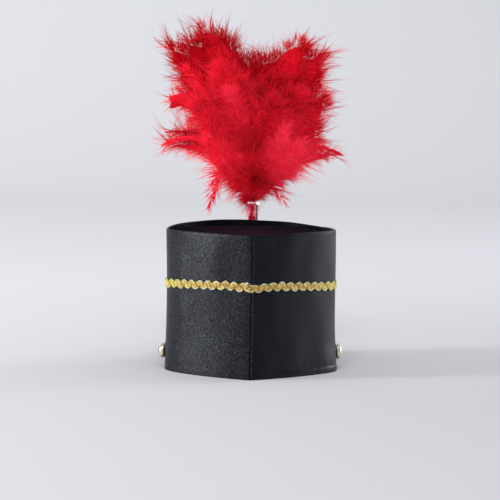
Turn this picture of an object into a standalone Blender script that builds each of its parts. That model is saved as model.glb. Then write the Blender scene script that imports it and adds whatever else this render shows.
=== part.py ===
"""A drum major hat: a stiff satin crown with a recessed top, gold braid, side buttons,
a front strap and peak, and a red feather plume on a stem at the front.

Metres, +Z up. The wearer faces +Y and the back seam faces -Y. The hat stands on its rim
at z = 0, and the origin is the middle of its bounding box in X and Y.
"""

import bisect
import math
from collections import namedtuple

import bmesh
import bpy
from mathutils import Vector

# Crown
CROWN_HEIGHT = 0.146
HALF_WIDTH = 0.0871        # outer half width at the waist
DEPTH_BACK = 0.080         # from the widest line back to the seam
DEPTH_FRONT = 0.118        # from the widest line forward
SEAM_RIDGE = 0.53          # 0 is a round back, 1 is two flat panels that meet at the seam
FRONT_FULLNESS = 2.2       # 2 is an ellipse, more is squarer
WALL = 0.0025
HEM_HEIGHT = 0.006
HEM_PROUD = 0.0005
TIP_DROP = 0.005           # the top lies this far below the rim
TIP_THICK = 0.002
TIP_DOME = 0.001
TIP_HALFWAY_DOME = 0.75    # share of the dome that it has halfway in from its edge

# Gold braid
BRAID_HEIGHT = 0.0885      # middle of the braid at the sides and front
BRAID_RISE = 0.0043        # how much higher it runs at the back seam
BRAID_RISE_POWER = 0.6     # below 1 the rise starts early, over 1 late
BRAID_RIBBON = 0.0049      # height of the ribbon that waves
BRAID_SWING = 0.0025       # how far the ribbon waves up and down
BRAID_PITCH = 0.0106
BRAID_THICK = 0.0012

# Buttons and front strap
BUTTON_RADIUS = 0.00775
BUTTON_RIM = 0.0010
BUTTON_DOME = 0.0042
BUTTON_BACK_SHARE = 0.93   # radius of the button's back as a share of its widest
BUTTON_DOME_SHARE = 0.96   # radius of the dome's foot
BUTTON_HEIGHT = 0.0185     # middle of the button above the rim
BUTTON_FORWARD = 0.009     # forward of the crown's widest line
STRAP_WIDTH = 0.014
STRAP_THICK = 0.0013
STRAP_RISE = 0.008         # how much higher the strap runs at the front
STRAP_PAST_BUTTON = 0.0085 # from the button's middle to the strap's end
STRAP_END_DEGREES = (12.0, 35.0, 60.0)

# Peak
PEAK_REACH = 0.046
PEAK_THICK = 0.0025
PEAK_ROOT = 0.016          # top of the peak's root above the rim, at the front
PEAK_ROOT_FALL = 0.0065    # how much lower the root is at the peak's ends
PEAK_LIFT = 0.001          # the peak's lower face stays this far above the rim's plane
PEAK_SPAN = 0.36           # share of the crown's perimeter that the peak follows
PEAK_CORNER = 0.004        # reach of the peak at its ends
PEAK_FORWARD = 1.5         # 0 sends the peak straight out of the wall, more sends it forward
PEAK_FALL_POWER = 0.8      # below 1 the peak falls most near its root

# Plume stem, its holder, its wire and its tie
STEM_RADIUS = 0.0045
STEM_ACROSS = 0.001        # the stem stands this far to the right of the middle
STEM_RISE = 0.0205         # stem above the crown's rim
STEM_DOWN = 0.040          # stem below the crown's rim
WIRE_RADIUS = 0.0007
HOLDER_HEIGHT = 0.026
HOLDER_BELOW_RIM = 0.008
HOLDER_WALL = 0.0016
TIE_HEIGHT = 0.0026
TIE_THICK = 0.0009
TIE_HEAD = 0.0042
TIE_BELOW_PLUME = 0.0008
TIE_HEAD_BEVEL = 0.86      # width of the head's ends as a share of its width
STEM_WALL_SHARE = 0.95     # height of the wall that the stem stands off, as a share

# Plume
PLUME_HEIGHT = 0.200
PLUME_HALF_WIDTH = 0.096
PLUME_HALF_DEPTH = 0.036
PLUME_HEAD_RADIUS = 0.021
PLUME_HEAD_SHARE = 0.46    # length of the head as a share of the plume's height
PLUME_FOOT_SHARE = 1.3     # the head's foot as a share of the stem's radius
PLUME_HEAD_LEVELS = (0.0, 0.10, 0.28, 0.50, 0.72, 0.90)
LOCK_WIDTH = 0.036
LOCK_THICK = 0.011
LOCK_BEND_ALONG = 0.5      # where along a lock its bend lies
LOCK_BEND_IN = 0.16        # how far the bend is pulled in, as a share of the tip's reach
LOCK_LOOK_AHEAD = 0.02     # step along a lock that its direction is read from

# Clearance between pieces that touch
GAP = 0.0003

# Fineness
FINE_STEPS = 1440          # steps of the plan curve that lengths are read from
CROWN_COLUMNS = 84
CORNER_WEIGHT = 0.04       # metres of plan that one radian of turn counts for
RIM_STEPS = 3
LOBE_STEPS = 4
LOCK_SIDES = 8
HEAD_SIDES = 12
ROUND_SIDES = 16
WIRE_SIDES = 8
BUTTON_RINGS = 6
STRAP_RUNS = 44
PEAK_COLUMNS = 26
PEAK_ROWS = 4
LOOP_STEM_STEPS = 12
LOOP_WIRE_STEPS = 4
SMOOTH_DEGREES = 40.0      # edges flatter than this are shaded smooth
BAND_SMOOTH_DEGREES = 30.0
TIE_SMOOTH_DEGREES = 50.0

# Wall sections from the rim up: share of the crown's height, share of the half width
Section = namedtuple("Section", "height spread")
WALL_SECTIONS = (
    Section(0.00, 1.018),
    Section(0.08, 1.015),
    Section(0.20, 1.007),
    Section(0.32, 1.001),
    Section(0.46, 1.000),
    Section(0.72, 1.002),
    Section(0.92, 1.004),
    Section(1.00, 1.005),
)

# Feather locks of the plume: where each tip lies, as shares of the plume's half width,
# height and half depth; where it leaves the head, as a share of the head's length; how far
# it rises before it leans out; and its width and thickness as shares of the lock's
Lock = namedtuple("Lock", "across up depth root rise width thick")
LOCKS = (
    Lock(-0.58, 0.955, 0.05, 0.40, 0.60, 1.20, 1.1),
    Lock(-0.38, 0.870, 0.25, 0.45, 0.68, 1.10, 1.0),
    Lock(-0.78, 0.885, 0.10, 0.45, 0.56, 0.90, 0.8),
    Lock(-0.98, 0.850, 0.15, 0.50, 0.50, 0.80, 0.8),
    Lock(-0.80, 0.740, 0.40, 0.40, 0.52, 1.10, 1.0),
    Lock(-0.93, 0.545, -0.20, 0.55, 0.92, 0.45, 0.8),
    Lock(-0.93, 0.365, 0.10, 0.30, 0.92, 0.30, 0.7),
    Lock(-1.00, 0.305, -0.15, 0.24, 1.05, 0.30, 0.7),
    Lock(-0.66, 0.560, -0.50, 0.30, 0.55, 1.10, 1.0),
    Lock(-0.36, 0.720, -0.85, 0.40, 0.60, 1.00, 1.0),
    Lock(-0.13, 0.780, 0.15, 0.60, 0.70, 0.90, 1.0),
    Lock(0.07, 0.800, 0.40, 0.60, 0.70, 0.90, 1.0),
    Lock(0.26, 0.790, 0.10, 0.60, 0.65, 1.00, 1.0),
    Lock(0.58, 0.880, 0.05, 0.45, 0.55, 1.15, 1.1),
    Lock(0.82, 0.820, 0.30, 0.50, 0.48, 0.90, 1.0),
    Lock(0.86, 0.570, -0.10, 0.40, 0.50, 1.10, 1.0),
    Lock(0.76, 0.700, 0.50, 0.40, 0.50, 1.00, 1.0),
    Lock(0.78, 0.410, 0.15, 0.25, 0.50, 1.00, 1.0),
    Lock(0.93, 0.250, -0.15, 0.22, 0.92, 0.34, 0.7),
    Lock(0.52, 0.290, -0.65, 0.10, 0.45, 0.95, 1.0),
    Lock(0.24, 0.560, -1.00, 0.25, 0.55, 0.95, 1.0),
    Lock(0.52, 0.600, -0.60, 0.35, 0.55, 0.95, 1.0),
    Lock(-0.52, 0.350, -0.45, 0.10, 0.45, 1.00, 1.0),
    Lock(-0.30, 0.180, -0.20, 0.07, 0.45, 0.70, 1.0),
    Lock(0.32, 0.165, 0.20, 0.07, 0.45, 0.60, 1.0),
    Lock(-0.30, 0.680, 0.95, 0.40, 0.55, 1.00, 1.0),
    Lock(0.30, 0.620, 1.00, 0.35, 0.55, 1.00, 1.0),
    Lock(-0.55, 0.450, 0.85, 0.20, 0.50, 1.00, 1.0),
    Lock(0.52, 0.380, 0.80, 0.15, 0.50, 1.00, 1.0),
    Lock(0.00, 0.400, 0.90, 0.15, 0.60, 1.00, 1.0),
)

# Width of a lock along its length, as shares: how far along, how wide
Swell = namedtuple("Swell", "along wide")
LOCK_SWELLS = (
    Swell(0.00, 0.30),
    Swell(0.25, 0.62),
    Swell(0.50, 0.92),
    Swell(0.72, 1.00),
    Swell(0.88, 0.72),
    Swell(0.96, 0.36),
)


def clear_scene():
    """Remove every object that the file holds."""
    for item in list(bpy.data.objects):
        bpy.data.objects.remove(item, do_unlink=True)


def material(name, colour, roughness, metallic=0.0):
    """A Principled material with one colour."""
    made = bpy.data.materials.new(name)
    made.use_nodes = True
    shader = made.node_tree.nodes["Principled BSDF"]
    shader.inputs["Base Color"].default_value = (*colour, 1.0)
    shader.inputs["Roughness"].default_value = roughness
    shader.inputs["Metallic"].default_value = metallic
    return made


def between(table, share):
    """The second column of a table at a share of its first, on a straight line."""
    for low, high in zip(table, table[1:]):
        if share <= high[0]:
            part = (share - low[0]) / (high[0] - low[0])
            return low[1] + (high[1] - low[1]) * part
    return table[-1][1]


def clamp(value, low, high):
    """The value, kept between two limits."""
    return max(low, min(high, value))


class Plan:
    """The crown's outline seen from above, read by its length from the back seam.

    The front half is a full ellipse. The back half is part ellipse and part two flat
    panels, so that it comes to a ridge at the seam.
    """

    def __init__(self):
        self.points = [self.curve(i / FINE_STEPS) for i in range(FINE_STEPS + 1)]
        self.lengths = [0.0]
        for one, two in zip(self.points, self.points[1:]):
            self.lengths.append(self.lengths[-1] + (two - one).length)
        self.perimeter = self.lengths[-1]

    def curve(self, turn):
        """A point of the outline at a share of a turn from the back seam."""
        angle = 2.0 * math.pi * turn
        side = math.sin(angle)
        if math.cos(angle) >= 0.0:
            flat = 1.0 - abs(side)
            back = SEAM_RIDGE * flat + (1.0 - SEAM_RIDGE) * math.cos(angle)
            return Vector((HALF_WIDTH * side, -DEPTH_BACK * back))
        front = (1.0 - abs(side) ** FRONT_FULLNESS) ** (1.0 / FRONT_FULLNESS)
        return Vector((HALF_WIDTH * side, DEPTH_FRONT * front))

    def at(self, length):
        """The point, and the outward normal, at a length round from the back seam."""
        length %= self.perimeter
        index = clamp(bisect.bisect_right(self.lengths, length) - 1, 0, FINE_STEPS - 1)
        one, two = self.points[index], self.points[index + 1]
        step = two - one
        point = one + step * ((length - self.lengths[index]) / step.length)
        ahead = step.normalized()
        if length < self.lengths[1] * 0.5:
            behind = (self.points[-1] - self.points[-2]).normalized()
            middle = (ahead + behind).normalized()
            return point, Vector((middle.y, -middle.x)) / middle.dot(ahead)
        return point, Vector((ahead.y, -ahead.x))

    def columns(self, count):
        """Lengths round the plan, closer together where it turns more."""
        measure = [0.0]
        for index in range(FINE_STEPS):
            one = self.points[index] - self.points[index - 1 if index else -2]
            two = self.points[index + 1] - self.points[index]
            turn = one.angle(two) if index else 0.0
            measure.append(measure[-1] + two.length + CORNER_WEIGHT * turn)
        picked = []
        for number in range(count):
            wanted = measure[-1] * number / count
            index = clamp(bisect.bisect_right(measure, wanted) - 1, 0, FINE_STEPS - 1)
            part = (wanted - measure[index]) / (measure[index + 1] - measure[index])
            picked.append(
                self.lengths[index] + part * (self.lengths[index + 1] - self.lengths[index])
            )
        return picked

    def length_at_depth(self, depth):
        """The length from the seam round the right side to a place in the front half."""
        quarter = FINE_STEPS // 4
        for index in range(quarter, 2 * quarter):
            if self.points[index].y >= depth:
                return self.lengths[index]
        return self.perimeter / 2.0


PLAN = Plan()


def wall_point(length, height, outset):
    """A point on the crown's outside at a length round it and a height, moved outwards."""
    point, normal = PLAN.at(length)
    spread = between(WALL_SECTIONS, clamp(height / CROWN_HEIGHT, 0.0, 1.0))
    flat = point * spread + normal * outset
    return Vector((flat.x, flat.y, height))


def front_share(length):
    """0 at the sides and behind them, rising smoothly to 1 at the front."""
    turn = 2.0 * math.pi * length / PLAN.perimeter
    return max(0.0, -math.cos(turn))


class Shape:
    """A mesh built from rings of points."""

    def __init__(self):
        self.mesh = bmesh.new()

    def ring(self, points):
        return [self.mesh.verts.new(point) for point in points]

    def join(self, one, two, closed=True):
        """Quads between two rings with the same number of points."""
        last = len(one) if closed else len(one) - 1
        for index in range(last):
            after = (index + 1) % len(one)
            self.mesh.faces.new((one[index], one[after], two[after], two[index]))

    def face(self, ring):
        return self.mesh.faces.new(ring)

    def tip(self, ring, point):
        """Triangles from a ring to one point."""
        end = self.mesh.verts.new(point)
        for index in range(len(ring)):
            self.mesh.faces.new((ring[index], ring[(index + 1) % len(ring)], end))

    def finish(self, name, look, parent, smooth_degrees=SMOOTH_DEGREES):
        """Turn the faces outwards and make the object."""
        bmesh.ops.recalc_face_normals(self.mesh, faces=self.mesh.faces)
        data = bpy.data.meshes.new(name)
        self.mesh.to_mesh(data)
        self.mesh.free()
        data.shade_smooth()
        data.set_sharp_from_angle(angle=math.radians(smooth_degrees))
        data.materials.append(look)
        made = bpy.data.objects.new(name, data)
        bpy.context.scene.collection.objects.link(made)
        made.parent = parent
        return made


def make_crown(look, parent):
    """The stiff wall: hem at the bottom, a slight waist and a round rim, open below."""
    columns = PLAN.columns(CROWN_COLUMNS)
    radius = WALL / 2.0
    top = CROWN_HEIGHT - radius
    profile = [(0.0, HEM_PROUD), (HEM_HEIGHT, HEM_PROUD), (HEM_HEIGHT + HEM_PROUD, 0.0)]
    profile += [(row.height * CROWN_HEIGHT, 0.0) for row in WALL_SECTIONS[1:-1]]
    for step in range(2 * RIM_STEPS + 1):
        angle = math.pi * step / (2 * RIM_STEPS)
        height = top + radius * math.sin(angle)
        profile.append((height, radius * math.cos(angle) - radius))
    inner = [row.height * CROWN_HEIGHT for row in WALL_SECTIONS[-2:0:-1]]
    profile += [(height, -WALL) for height in inner]
    profile.append((0.0, -WALL))
    shape = Shape()
    rings = []
    for height, outset in profile:
        rings.append(shape.ring([wall_point(l, height, outset) for l in columns]))
    for one, two in zip(rings, rings[1:] + rings[:1]):
        shape.join(one, two)
    return shape.finish("crown", look, parent)


def make_crown_top(look, parent):
    """The closed top, which lies inside the wall a little below the rim."""
    columns = PLAN.columns(CROWN_COLUMNS)
    top = CROWN_HEIGHT - TIP_DROP
    inset = -(WALL + GAP)
    upper = [wall_point(l, top, inset) for l in columns]
    lower = [Vector((p.x, p.y, top - TIP_THICK)) for p in upper]
    middle = Vector((0.0, (DEPTH_FRONT - DEPTH_BACK) / 2.0, 0.0))
    shape = Shape()
    under = shape.ring(lower)
    edge = shape.ring(upper)
    shape.join(under, edge)
    half = []
    for point in upper:
        flat = Vector((point.x + middle.x, point.y + middle.y)) / 2.0
        half.append(Vector((flat.x, flat.y, top + TIP_DOME * TIP_HALFWAY_DOME)))
    inside = shape.ring(half)
    shape.join(edge, inside)
    shape.tip(inside, middle + Vector((0.0, 0.0, top + TIP_DOME)))
    shape.face(under)
    return shape.finish("crown_top", look, parent)


def braid_middle(length):
    """Height of the braid's middle line: level, but higher towards the back seam."""
    depth = clamp(-PLAN.at(length)[0].y / DEPTH_BACK, 0.0, 1.0)
    return BRAID_HEIGHT + BRAID_RISE * depth ** BRAID_RISE_POWER


def make_braid(look, parent):
    """The waving gold ribbon round the crown, one closed band."""
    lobes = round(PLAN.perimeter / BRAID_PITCH)
    count = lobes * LOBE_STEPS
    corners = ((-1.0, GAP), (-1.0, GAP + BRAID_THICK), (1.0, GAP + BRAID_THICK), (1.0, GAP))
    shape = Shape()
    rings = []
    for side, outset in corners:
        points = []
        for index in range(count):
            length = PLAN.perimeter * index / count
            wave = BRAID_SWING * math.sin(2.0 * math.pi * index / LOBE_STEPS)
            height = braid_middle(length) + wave + side * BRAID_RIBBON / 2.0
            points.append(wall_point(length, height, outset))
        rings.append(shape.ring(points))
    for one, two in zip(rings, rings[1:] + rings[:1]):
        shape.join(one, two)
    return shape.finish("braid", look, parent, BAND_SMOOTH_DEGREES)


def strap_middle(length):
    """Height of the strap's middle line: at the buttons at the sides, higher in front."""
    return BUTTON_HEIGHT + STRAP_RISE * front_share(length)


def make_front_strap(look, parent):
    """The strap round the front from button to button, with round ends."""
    start = PLAN.length_at_depth(BUTTON_FORWARD) - STRAP_PAST_BUTTON
    end = PLAN.perimeter - start
    half = STRAP_WIDTH / 2.0
    turns = [math.radians(degrees) for degrees in STRAP_END_DEGREES]
    lengths = [start + half * (1.0 - math.cos(turn)) for turn in turns]
    halves = [half * math.sin(turn) for turn in turns]
    for index in range(STRAP_RUNS + 1):
        lengths.append(start + half + (end - start - 2.0 * half) * index / STRAP_RUNS)
        halves.append(half)
    for turn in reversed(turns):
        lengths.append(end - half * (1.0 - math.cos(turn)))
        halves.append(half * math.sin(turn))
    shape = Shape()
    rings = []
    for length, tall in zip(lengths, halves):
        middle = strap_middle(length)
        rings.append(shape.ring((
            wall_point(length, middle - tall, GAP),
            wall_point(length, middle - tall, GAP + STRAP_THICK),
            wall_point(length, middle + tall, GAP + STRAP_THICK),
            wall_point(length, middle + tall, GAP),
        )))
    for one, two in zip(rings, rings[1:]):
        shape.join(one, two)
    shape.face(rings[0])
    shape.face(rings[-1])
    return shape.finish("front_strap", look, parent, BAND_SMOOTH_DEGREES)


def make_button(name, side, look, parent):
    """A domed button on the strap, its axis along X; side is 1 right, -1 left."""
    length = PLAN.length_at_depth(BUTTON_FORWARD)
    widest = wall_point(length, BUTTON_HEIGHT - BUTTON_RADIUS, 2.0 * GAP + STRAP_THICK)
    profile = [(BUTTON_RADIUS * BUTTON_BACK_SHARE, 0.0), (BUTTON_RADIUS, BUTTON_RIM / 2.0)]
    for step in range(BUTTON_RINGS):
        angle = math.radians(90.0 * step / BUTTON_RINGS)
        height = BUTTON_RIM + BUTTON_DOME * math.sin(angle)
        profile.append((BUTTON_RADIUS * BUTTON_DOME_SHARE * math.cos(angle), height))
    shape = Shape()
    rings = []
    for radius, height in profile:
        points = []
        for index in range(ROUND_SIDES):
            angle = 2.0 * math.pi * index / ROUND_SIDES
            points.append((height, radius * math.cos(angle), radius * math.sin(angle)))
        rings.append(shape.ring(points))
    for one, two in zip(rings, rings[1:]):
        shape.join(one, two)
    shape.face(rings[0])
    shape.tip(rings[-1], (BUTTON_RIM + BUTTON_DOME, 0.0, 0.0))
    made = shape.finish(name, look, parent)
    made.location = (side * widest.x, widest.y, BUTTON_HEIGHT)
    made.rotation_euler = (0.0, 0.0, 0.0 if side > 0 else math.pi)
    return made


def make_peak(look, parent):
    """The crescent peak at the front, sloping down to just above the rim's plane."""
    middle = PLAN.perimeter / 2.0
    half_span = PLAN.perimeter * PEAK_SPAN / 2.0
    edge_top = PEAK_LIFT + PEAK_THICK
    shape = Shape()
    rings = []
    for column in range(PEAK_COLUMNS + 1):
        side = 2.0 * column / PEAK_COLUMNS - 1.0
        length = middle + half_span * side
        root_top = PEAK_ROOT - PEAK_ROOT_FALL * side * side
        root = wall_point(length, root_top, GAP + HEM_PROUD)
        round_out = math.sqrt(max(0.0, 1.0 - side * side))
        reach = PEAK_CORNER + (PEAK_REACH - PEAK_CORNER) * round_out
        normal = PLAN.at(length)[1]
        forward = (normal + Vector((0.0, PEAK_FORWARD))).normalized()
        upper = []
        for row in range(PEAK_ROWS + 1):
            part = row / PEAK_ROWS
            fall = (root_top - edge_top) * round_out * part ** PEAK_FALL_POWER
            flat = root.xy + forward * reach * part
            upper.append(Vector((flat.x, flat.y, root_top - fall)))
        lower = [point - Vector((0.0, 0.0, PEAK_THICK)) for point in reversed(upper)]
        rings.append(shape.ring(upper + lower))
    for one, two in zip(rings, rings[1:]):
        shape.join(one, two)
    shape.face(rings[0])
    shape.face(rings[-1])
    return shape.finish("peak", look, parent)


def stem_place():
    """Where the stem stands, just in front of the crown's wall, in X and Y."""
    front = wall_point(PLAN.perimeter / 2.0, CROWN_HEIGHT * STEM_WALL_SHARE, 0.0)
    return Vector((STEM_ACROSS, front.y + 2.0 * GAP + HOLDER_WALL + STEM_RADIUS))


def wire_place():
    """Where the thin wire stands, on the right of the stem."""
    return stem_place() + Vector((STEM_RADIUS + GAP + WIRE_RADIUS, 0.0))


def prism(shape, outlines):
    """A closed solid through rings given from bottom to top."""
    rings = [shape.ring(points) for points in outlines]
    for one, two in zip(rings, rings[1:]):
        shape.join(one, two)
    shape.face(rings[0])
    shape.face(rings[-1])


def circle(centre, radius, height, sides):
    """Points of a level circle."""
    turns = [2.0 * math.pi * index / sides for index in range(sides)]
    return [
        (centre.x + radius * math.cos(a), centre.y + radius * math.sin(a), height)
        for a in turns
    ]


def make_stem(look, parent):
    """The wrapped stem that carries the plume."""
    centre = stem_place()
    bottom = CROWN_HEIGHT - STEM_DOWN
    top = CROWN_HEIGHT + STEM_RISE
    shape = Shape()
    prism(shape, [circle(centre, STEM_RADIUS, z, ROUND_SIDES) for z in (bottom, top)])
    return shape.finish("plume_stem", look, parent)


def make_wire(look, parent):
    """The thin dark wire beside the stem."""
    centre = wire_place()
    bottom = CROWN_HEIGHT - STEM_DOWN
    top = CROWN_HEIGHT + STEM_RISE
    shape = Shape()
    prism(shape, [circle(centre, WIRE_RADIUS, z, WIRE_SIDES) for z in (bottom, top)])
    return shape.finish("stem_wire", look, parent)


def loop_outline(outset):
    """A level outline round the stem and the wire, as two half circles."""
    left = stem_place()
    right = wire_place()
    around = STEM_RADIUS + GAP + outset
    small = WIRE_RADIUS + GAP + outset
    tangent = math.acos((around - small) / (right - left).length)
    points = []
    for step in range(LOOP_STEM_STEPS + 1):
        angle = tangent + (2.0 * math.pi - 2.0 * tangent) * step / LOOP_STEM_STEPS
        points.append(left + around * Vector((math.cos(angle), math.sin(angle))))
    for step in range(LOOP_WIRE_STEPS + 1):
        angle = -tangent + 2.0 * tangent * step / LOOP_WIRE_STEPS
        points.append(right + small * Vector((math.cos(angle), math.sin(angle))))
    return points


def sleeve(shape, wall, bottom, top):
    """A closed tube of a wall's thickness round the stem and the wire."""
    rings = []
    for outset, height in ((0.0, bottom), (wall, bottom), (wall, top), (0.0, top)):
        rings.append(shape.ring([(p.x, p.y, height) for p in loop_outline(outset)]))
    for one, two in zip(rings, rings[1:] + rings[:1]):
        shape.join(one, two)


def make_holder(look, parent):
    """The plain sleeve on the crown's front that holds the stem and the wire."""
    top = CROWN_HEIGHT - HOLDER_BELOW_RIM
    shape = Shape()
    sleeve(shape, HOLDER_WALL, top - HOLDER_HEIGHT, top)
    return shape.finish("plume_holder", look, parent)


def make_tie(look, parent):
    """The white tie round the stem's top, with its head on the right at the back."""
    top = CROWN_HEIGHT + STEM_RISE - TIE_BELOW_PLUME
    bottom = top - TIE_HEIGHT
    shape = Shape()
    sleeve(shape, TIE_THICK, bottom, top)
    band = shape.finish("plume_tie", look, parent, TIE_SMOOTH_DEGREES)
    head = Shape()
    half = TIE_HEAD / 2.0
    centre = stem_place() + Vector((
        STEM_RADIUS + 2.0 * GAP + half,
        -(WIRE_RADIUS + 2.0 * GAP + half),
    ))
    corners = ((-1, -1), (1, -1), (1, 1), (-1, 1))
    over = (TIE_HEAD - TIE_HEIGHT) / 2.0
    levels = (
        (bottom - over, TIE_HEAD_BEVEL), (bottom, 1.0),
        (top, 1.0), (top + over / 2.0, TIE_HEAD_BEVEL),
    )
    outlines = []
    for height, share in levels:
        outlines.append([
            (centre.x + half * share * x, centre.y + half * share * y, height)
            for x, y in corners
        ])
    prism(head, outlines)
    cutter = head.finish("plume_tie_head", look, parent)
    cutter.hide_render = True
    cutter.display_type = "WIRE"
    union = band.modifiers.new("head", "BOOLEAN")
    union.operation = "UNION"
    union.solver = "EXACT"
    union.object = cutter
    return band


def lock_path(lock, share):
    """A point along a lock, from inside the head out to its tip."""
    root_height = PLUME_HEIGHT * PLUME_HEAD_SHARE * lock.root
    root = Vector((0.0, 0.0, root_height))
    tip = Vector((
        PLUME_HALF_WIDTH * lock.across,
        PLUME_HALF_DEPTH * lock.depth,
        PLUME_HEIGHT * lock.up,
    ))
    out = Vector((tip.x, tip.y, 0.0))
    bend = root + (tip - root) * LOCK_BEND_ALONG
    bend.z = root_height + (tip.z - root_height) * lock.rise
    bend -= out * LOCK_BEND_IN
    return (
        root * (1.0 - share) ** 2
        + bend * 2.0 * share * (1.0 - share)
        + tip * share ** 2
    )


def make_lock(number, lock, base, look, parent):
    """One feather lock, a flattened leaf that ends in a point."""
    shape = Shape()
    rings = []
    for swell in LOCK_SWELLS:
        middle = lock_path(lock, swell.along)
        ahead = (lock_path(lock, swell.along + LOCK_LOOK_AHEAD) - middle).normalized()
        across = Vector((ahead.z, 0.0, -ahead.x)).normalized()
        through = ahead.cross(across).normalized()
        points = []
        for index in range(LOCK_SIDES):
            angle = 2.0 * math.pi * index / LOCK_SIDES
            wide = LOCK_WIDTH * lock.width * swell.wide / 2.0 * math.cos(angle)
            thick = LOCK_THICK * lock.thick * swell.wide / 2.0 * math.sin(angle)
            points.append(middle + across * wide + through * thick)
        rings.append(shape.ring(points))
    for one, two in zip(rings, rings[1:]):
        shape.join(one, two)
    shape.face(rings[0])
    shape.tip(rings[-1], lock_path(lock, 1.0))
    made = shape.finish(f"lock_{number:02d}", look, parent)
    made.location = base
    made.hide_render = True
    made.display_type = "WIRE"
    return made


def make_plume(look, parent):
    """The plume: a head on the stem, with the feather locks fused to it."""
    centre = stem_place()
    base = Vector((centre.x, centre.y, CROWN_HEIGHT + STEM_RISE + GAP))
    tall = PLUME_HEIGHT * PLUME_HEAD_SHARE
    outlines = []
    for share in PLUME_HEAD_LEVELS:
        round_in = math.sqrt(max(0.0, 1.0 - (2.0 * share - 1.0) ** 2))
        radius = max(STEM_RADIUS * PLUME_FOOT_SHARE, PLUME_HEAD_RADIUS * round_in)
        ring = circle(Vector((0.0, 0.0)), radius, tall * share, HEAD_SIDES)
        outlines.append(ring)
    shape = Shape()
    prism(shape, outlines)
    head = shape.finish("plume", look, parent)
    head.location = base
    locks = bpy.data.collections.new("plume_locks")
    bpy.context.scene.collection.children.link(locks)
    for number, lock in enumerate(LOCKS, 1):
        made = make_lock(number, lock, base, look, parent)
        bpy.context.scene.collection.objects.unlink(made)
        locks.objects.link(made)
    union = head.modifiers.new("locks", "BOOLEAN")
    union.operation = "UNION"
    union.solver = "EXACT"
    union.operand_type = "COLLECTION"
    union.collection = locks
    return head


def main():
    clear_scene()
    satin = material("black_satin", (0.028, 0.030, 0.036), 0.55)
    top_satin = material("top_satin", (0.022, 0.022, 0.026), 0.60)
    gold = material("gold_braid", (0.80, 0.55, 0.16), 0.35, 0.9)
    brass = material("pale_brass", (0.86, 0.74, 0.48), 0.22, 1.0)
    gloss_black = material("gloss_black", (0.010, 0.010, 0.012), 0.15)
    strap_black = material("strap_black", (0.014, 0.014, 0.016), 0.35)
    red = material("plume_red", (0.62, 0.012, 0.03), 0.8)
    foil = material("stem_foil", (0.70, 0.03, 0.08), 0.25, 0.6)
    dark = material("dark_wire", (0.05, 0.02, 0.025), 0.4)
    white = material("white_tie", (0.90, 0.86, 0.87), 0.4)

    back = DEPTH_BACK * WALL_SECTIONS[0].spread + HEM_PROUD * math.hypot(
        1.0, SEAM_RIDGE * DEPTH_BACK / HALF_WIDTH
    )
    root = wall_point(PLAN.perimeter / 2.0, PEAK_ROOT, GAP + HEM_PROUD)
    front = root.y + PEAK_REACH
    hat = bpy.data.objects.new("hat_frame", None)
    hat.location = (0.0, (back - front) / 2.0, 0.0)
    bpy.context.scene.collection.objects.link(hat)

    make_crown(satin, hat)
    make_crown_top(top_satin, hat)
    make_braid(gold, hat)
    make_front_strap(strap_black, hat)
    make_button("button_right", 1, brass, hat)
    make_button("button_left", -1, brass, hat)
    make_peak(gloss_black, hat)
    make_stem(foil, hat)
    make_wire(dark, hat)
    make_holder(satin, hat)
    make_tie(white, hat)
    make_plume(red, hat)


main()
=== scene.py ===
"""The looks of the drum major hat: satin crown, gold gimp braid, brass buttons, a red
feather plume, a pale floor, soft studio light and a camera behind the hat.

Metres, +Z up. The wearer faces +Y, the back seam and the camera are on the -Y side, and
the hat stands on its rim at z = 0.
"""

import math
from collections import namedtuple

import bpy
import numpy as np
from mathutils import Matrix, Vector


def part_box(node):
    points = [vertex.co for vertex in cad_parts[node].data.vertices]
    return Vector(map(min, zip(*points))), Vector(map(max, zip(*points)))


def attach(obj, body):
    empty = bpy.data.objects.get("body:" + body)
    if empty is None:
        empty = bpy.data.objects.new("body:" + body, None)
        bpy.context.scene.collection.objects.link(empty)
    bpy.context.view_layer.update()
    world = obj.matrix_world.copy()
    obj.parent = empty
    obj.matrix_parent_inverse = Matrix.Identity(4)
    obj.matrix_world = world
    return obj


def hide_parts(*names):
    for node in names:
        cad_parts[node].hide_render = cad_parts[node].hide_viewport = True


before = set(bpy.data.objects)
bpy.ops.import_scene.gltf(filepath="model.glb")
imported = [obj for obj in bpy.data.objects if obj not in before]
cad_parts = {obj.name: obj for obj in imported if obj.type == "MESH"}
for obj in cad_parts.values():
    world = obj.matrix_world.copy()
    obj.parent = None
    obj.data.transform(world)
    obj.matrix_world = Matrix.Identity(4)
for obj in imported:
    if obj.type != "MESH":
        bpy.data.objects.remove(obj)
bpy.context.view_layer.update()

FULL_TURN = 2 * np.pi


def corners_of(node):
    """The low and the high corner of a solid's box."""
    low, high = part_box(node)
    return Vector(low), Vector(high)


# Crown, as the frame's solids have it
SEAM_RIDGE = 0.53          # 0 is a round back, 1 is two flat panels that meet at the seam
FRONT_FULLNESS = 2.2       # 2 is an ellipse, more is squarer
DEPTH_BACK_SHARE = 0.08 / (0.08 + 0.118)
WALL = 0.0025
HEM_HEIGHT = 0.006
HEM_PROUD = 0.0005
SECTION_HEIGHTS = (0.00, 0.08, 0.20, 0.32, 0.46, 0.72, 0.92, 1.00)
SECTION_SPREADS = (1.018, 1.015, 1.007, 1.001, 1.000, 1.002, 1.004, 1.005)
GAP = 0.0003

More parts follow.
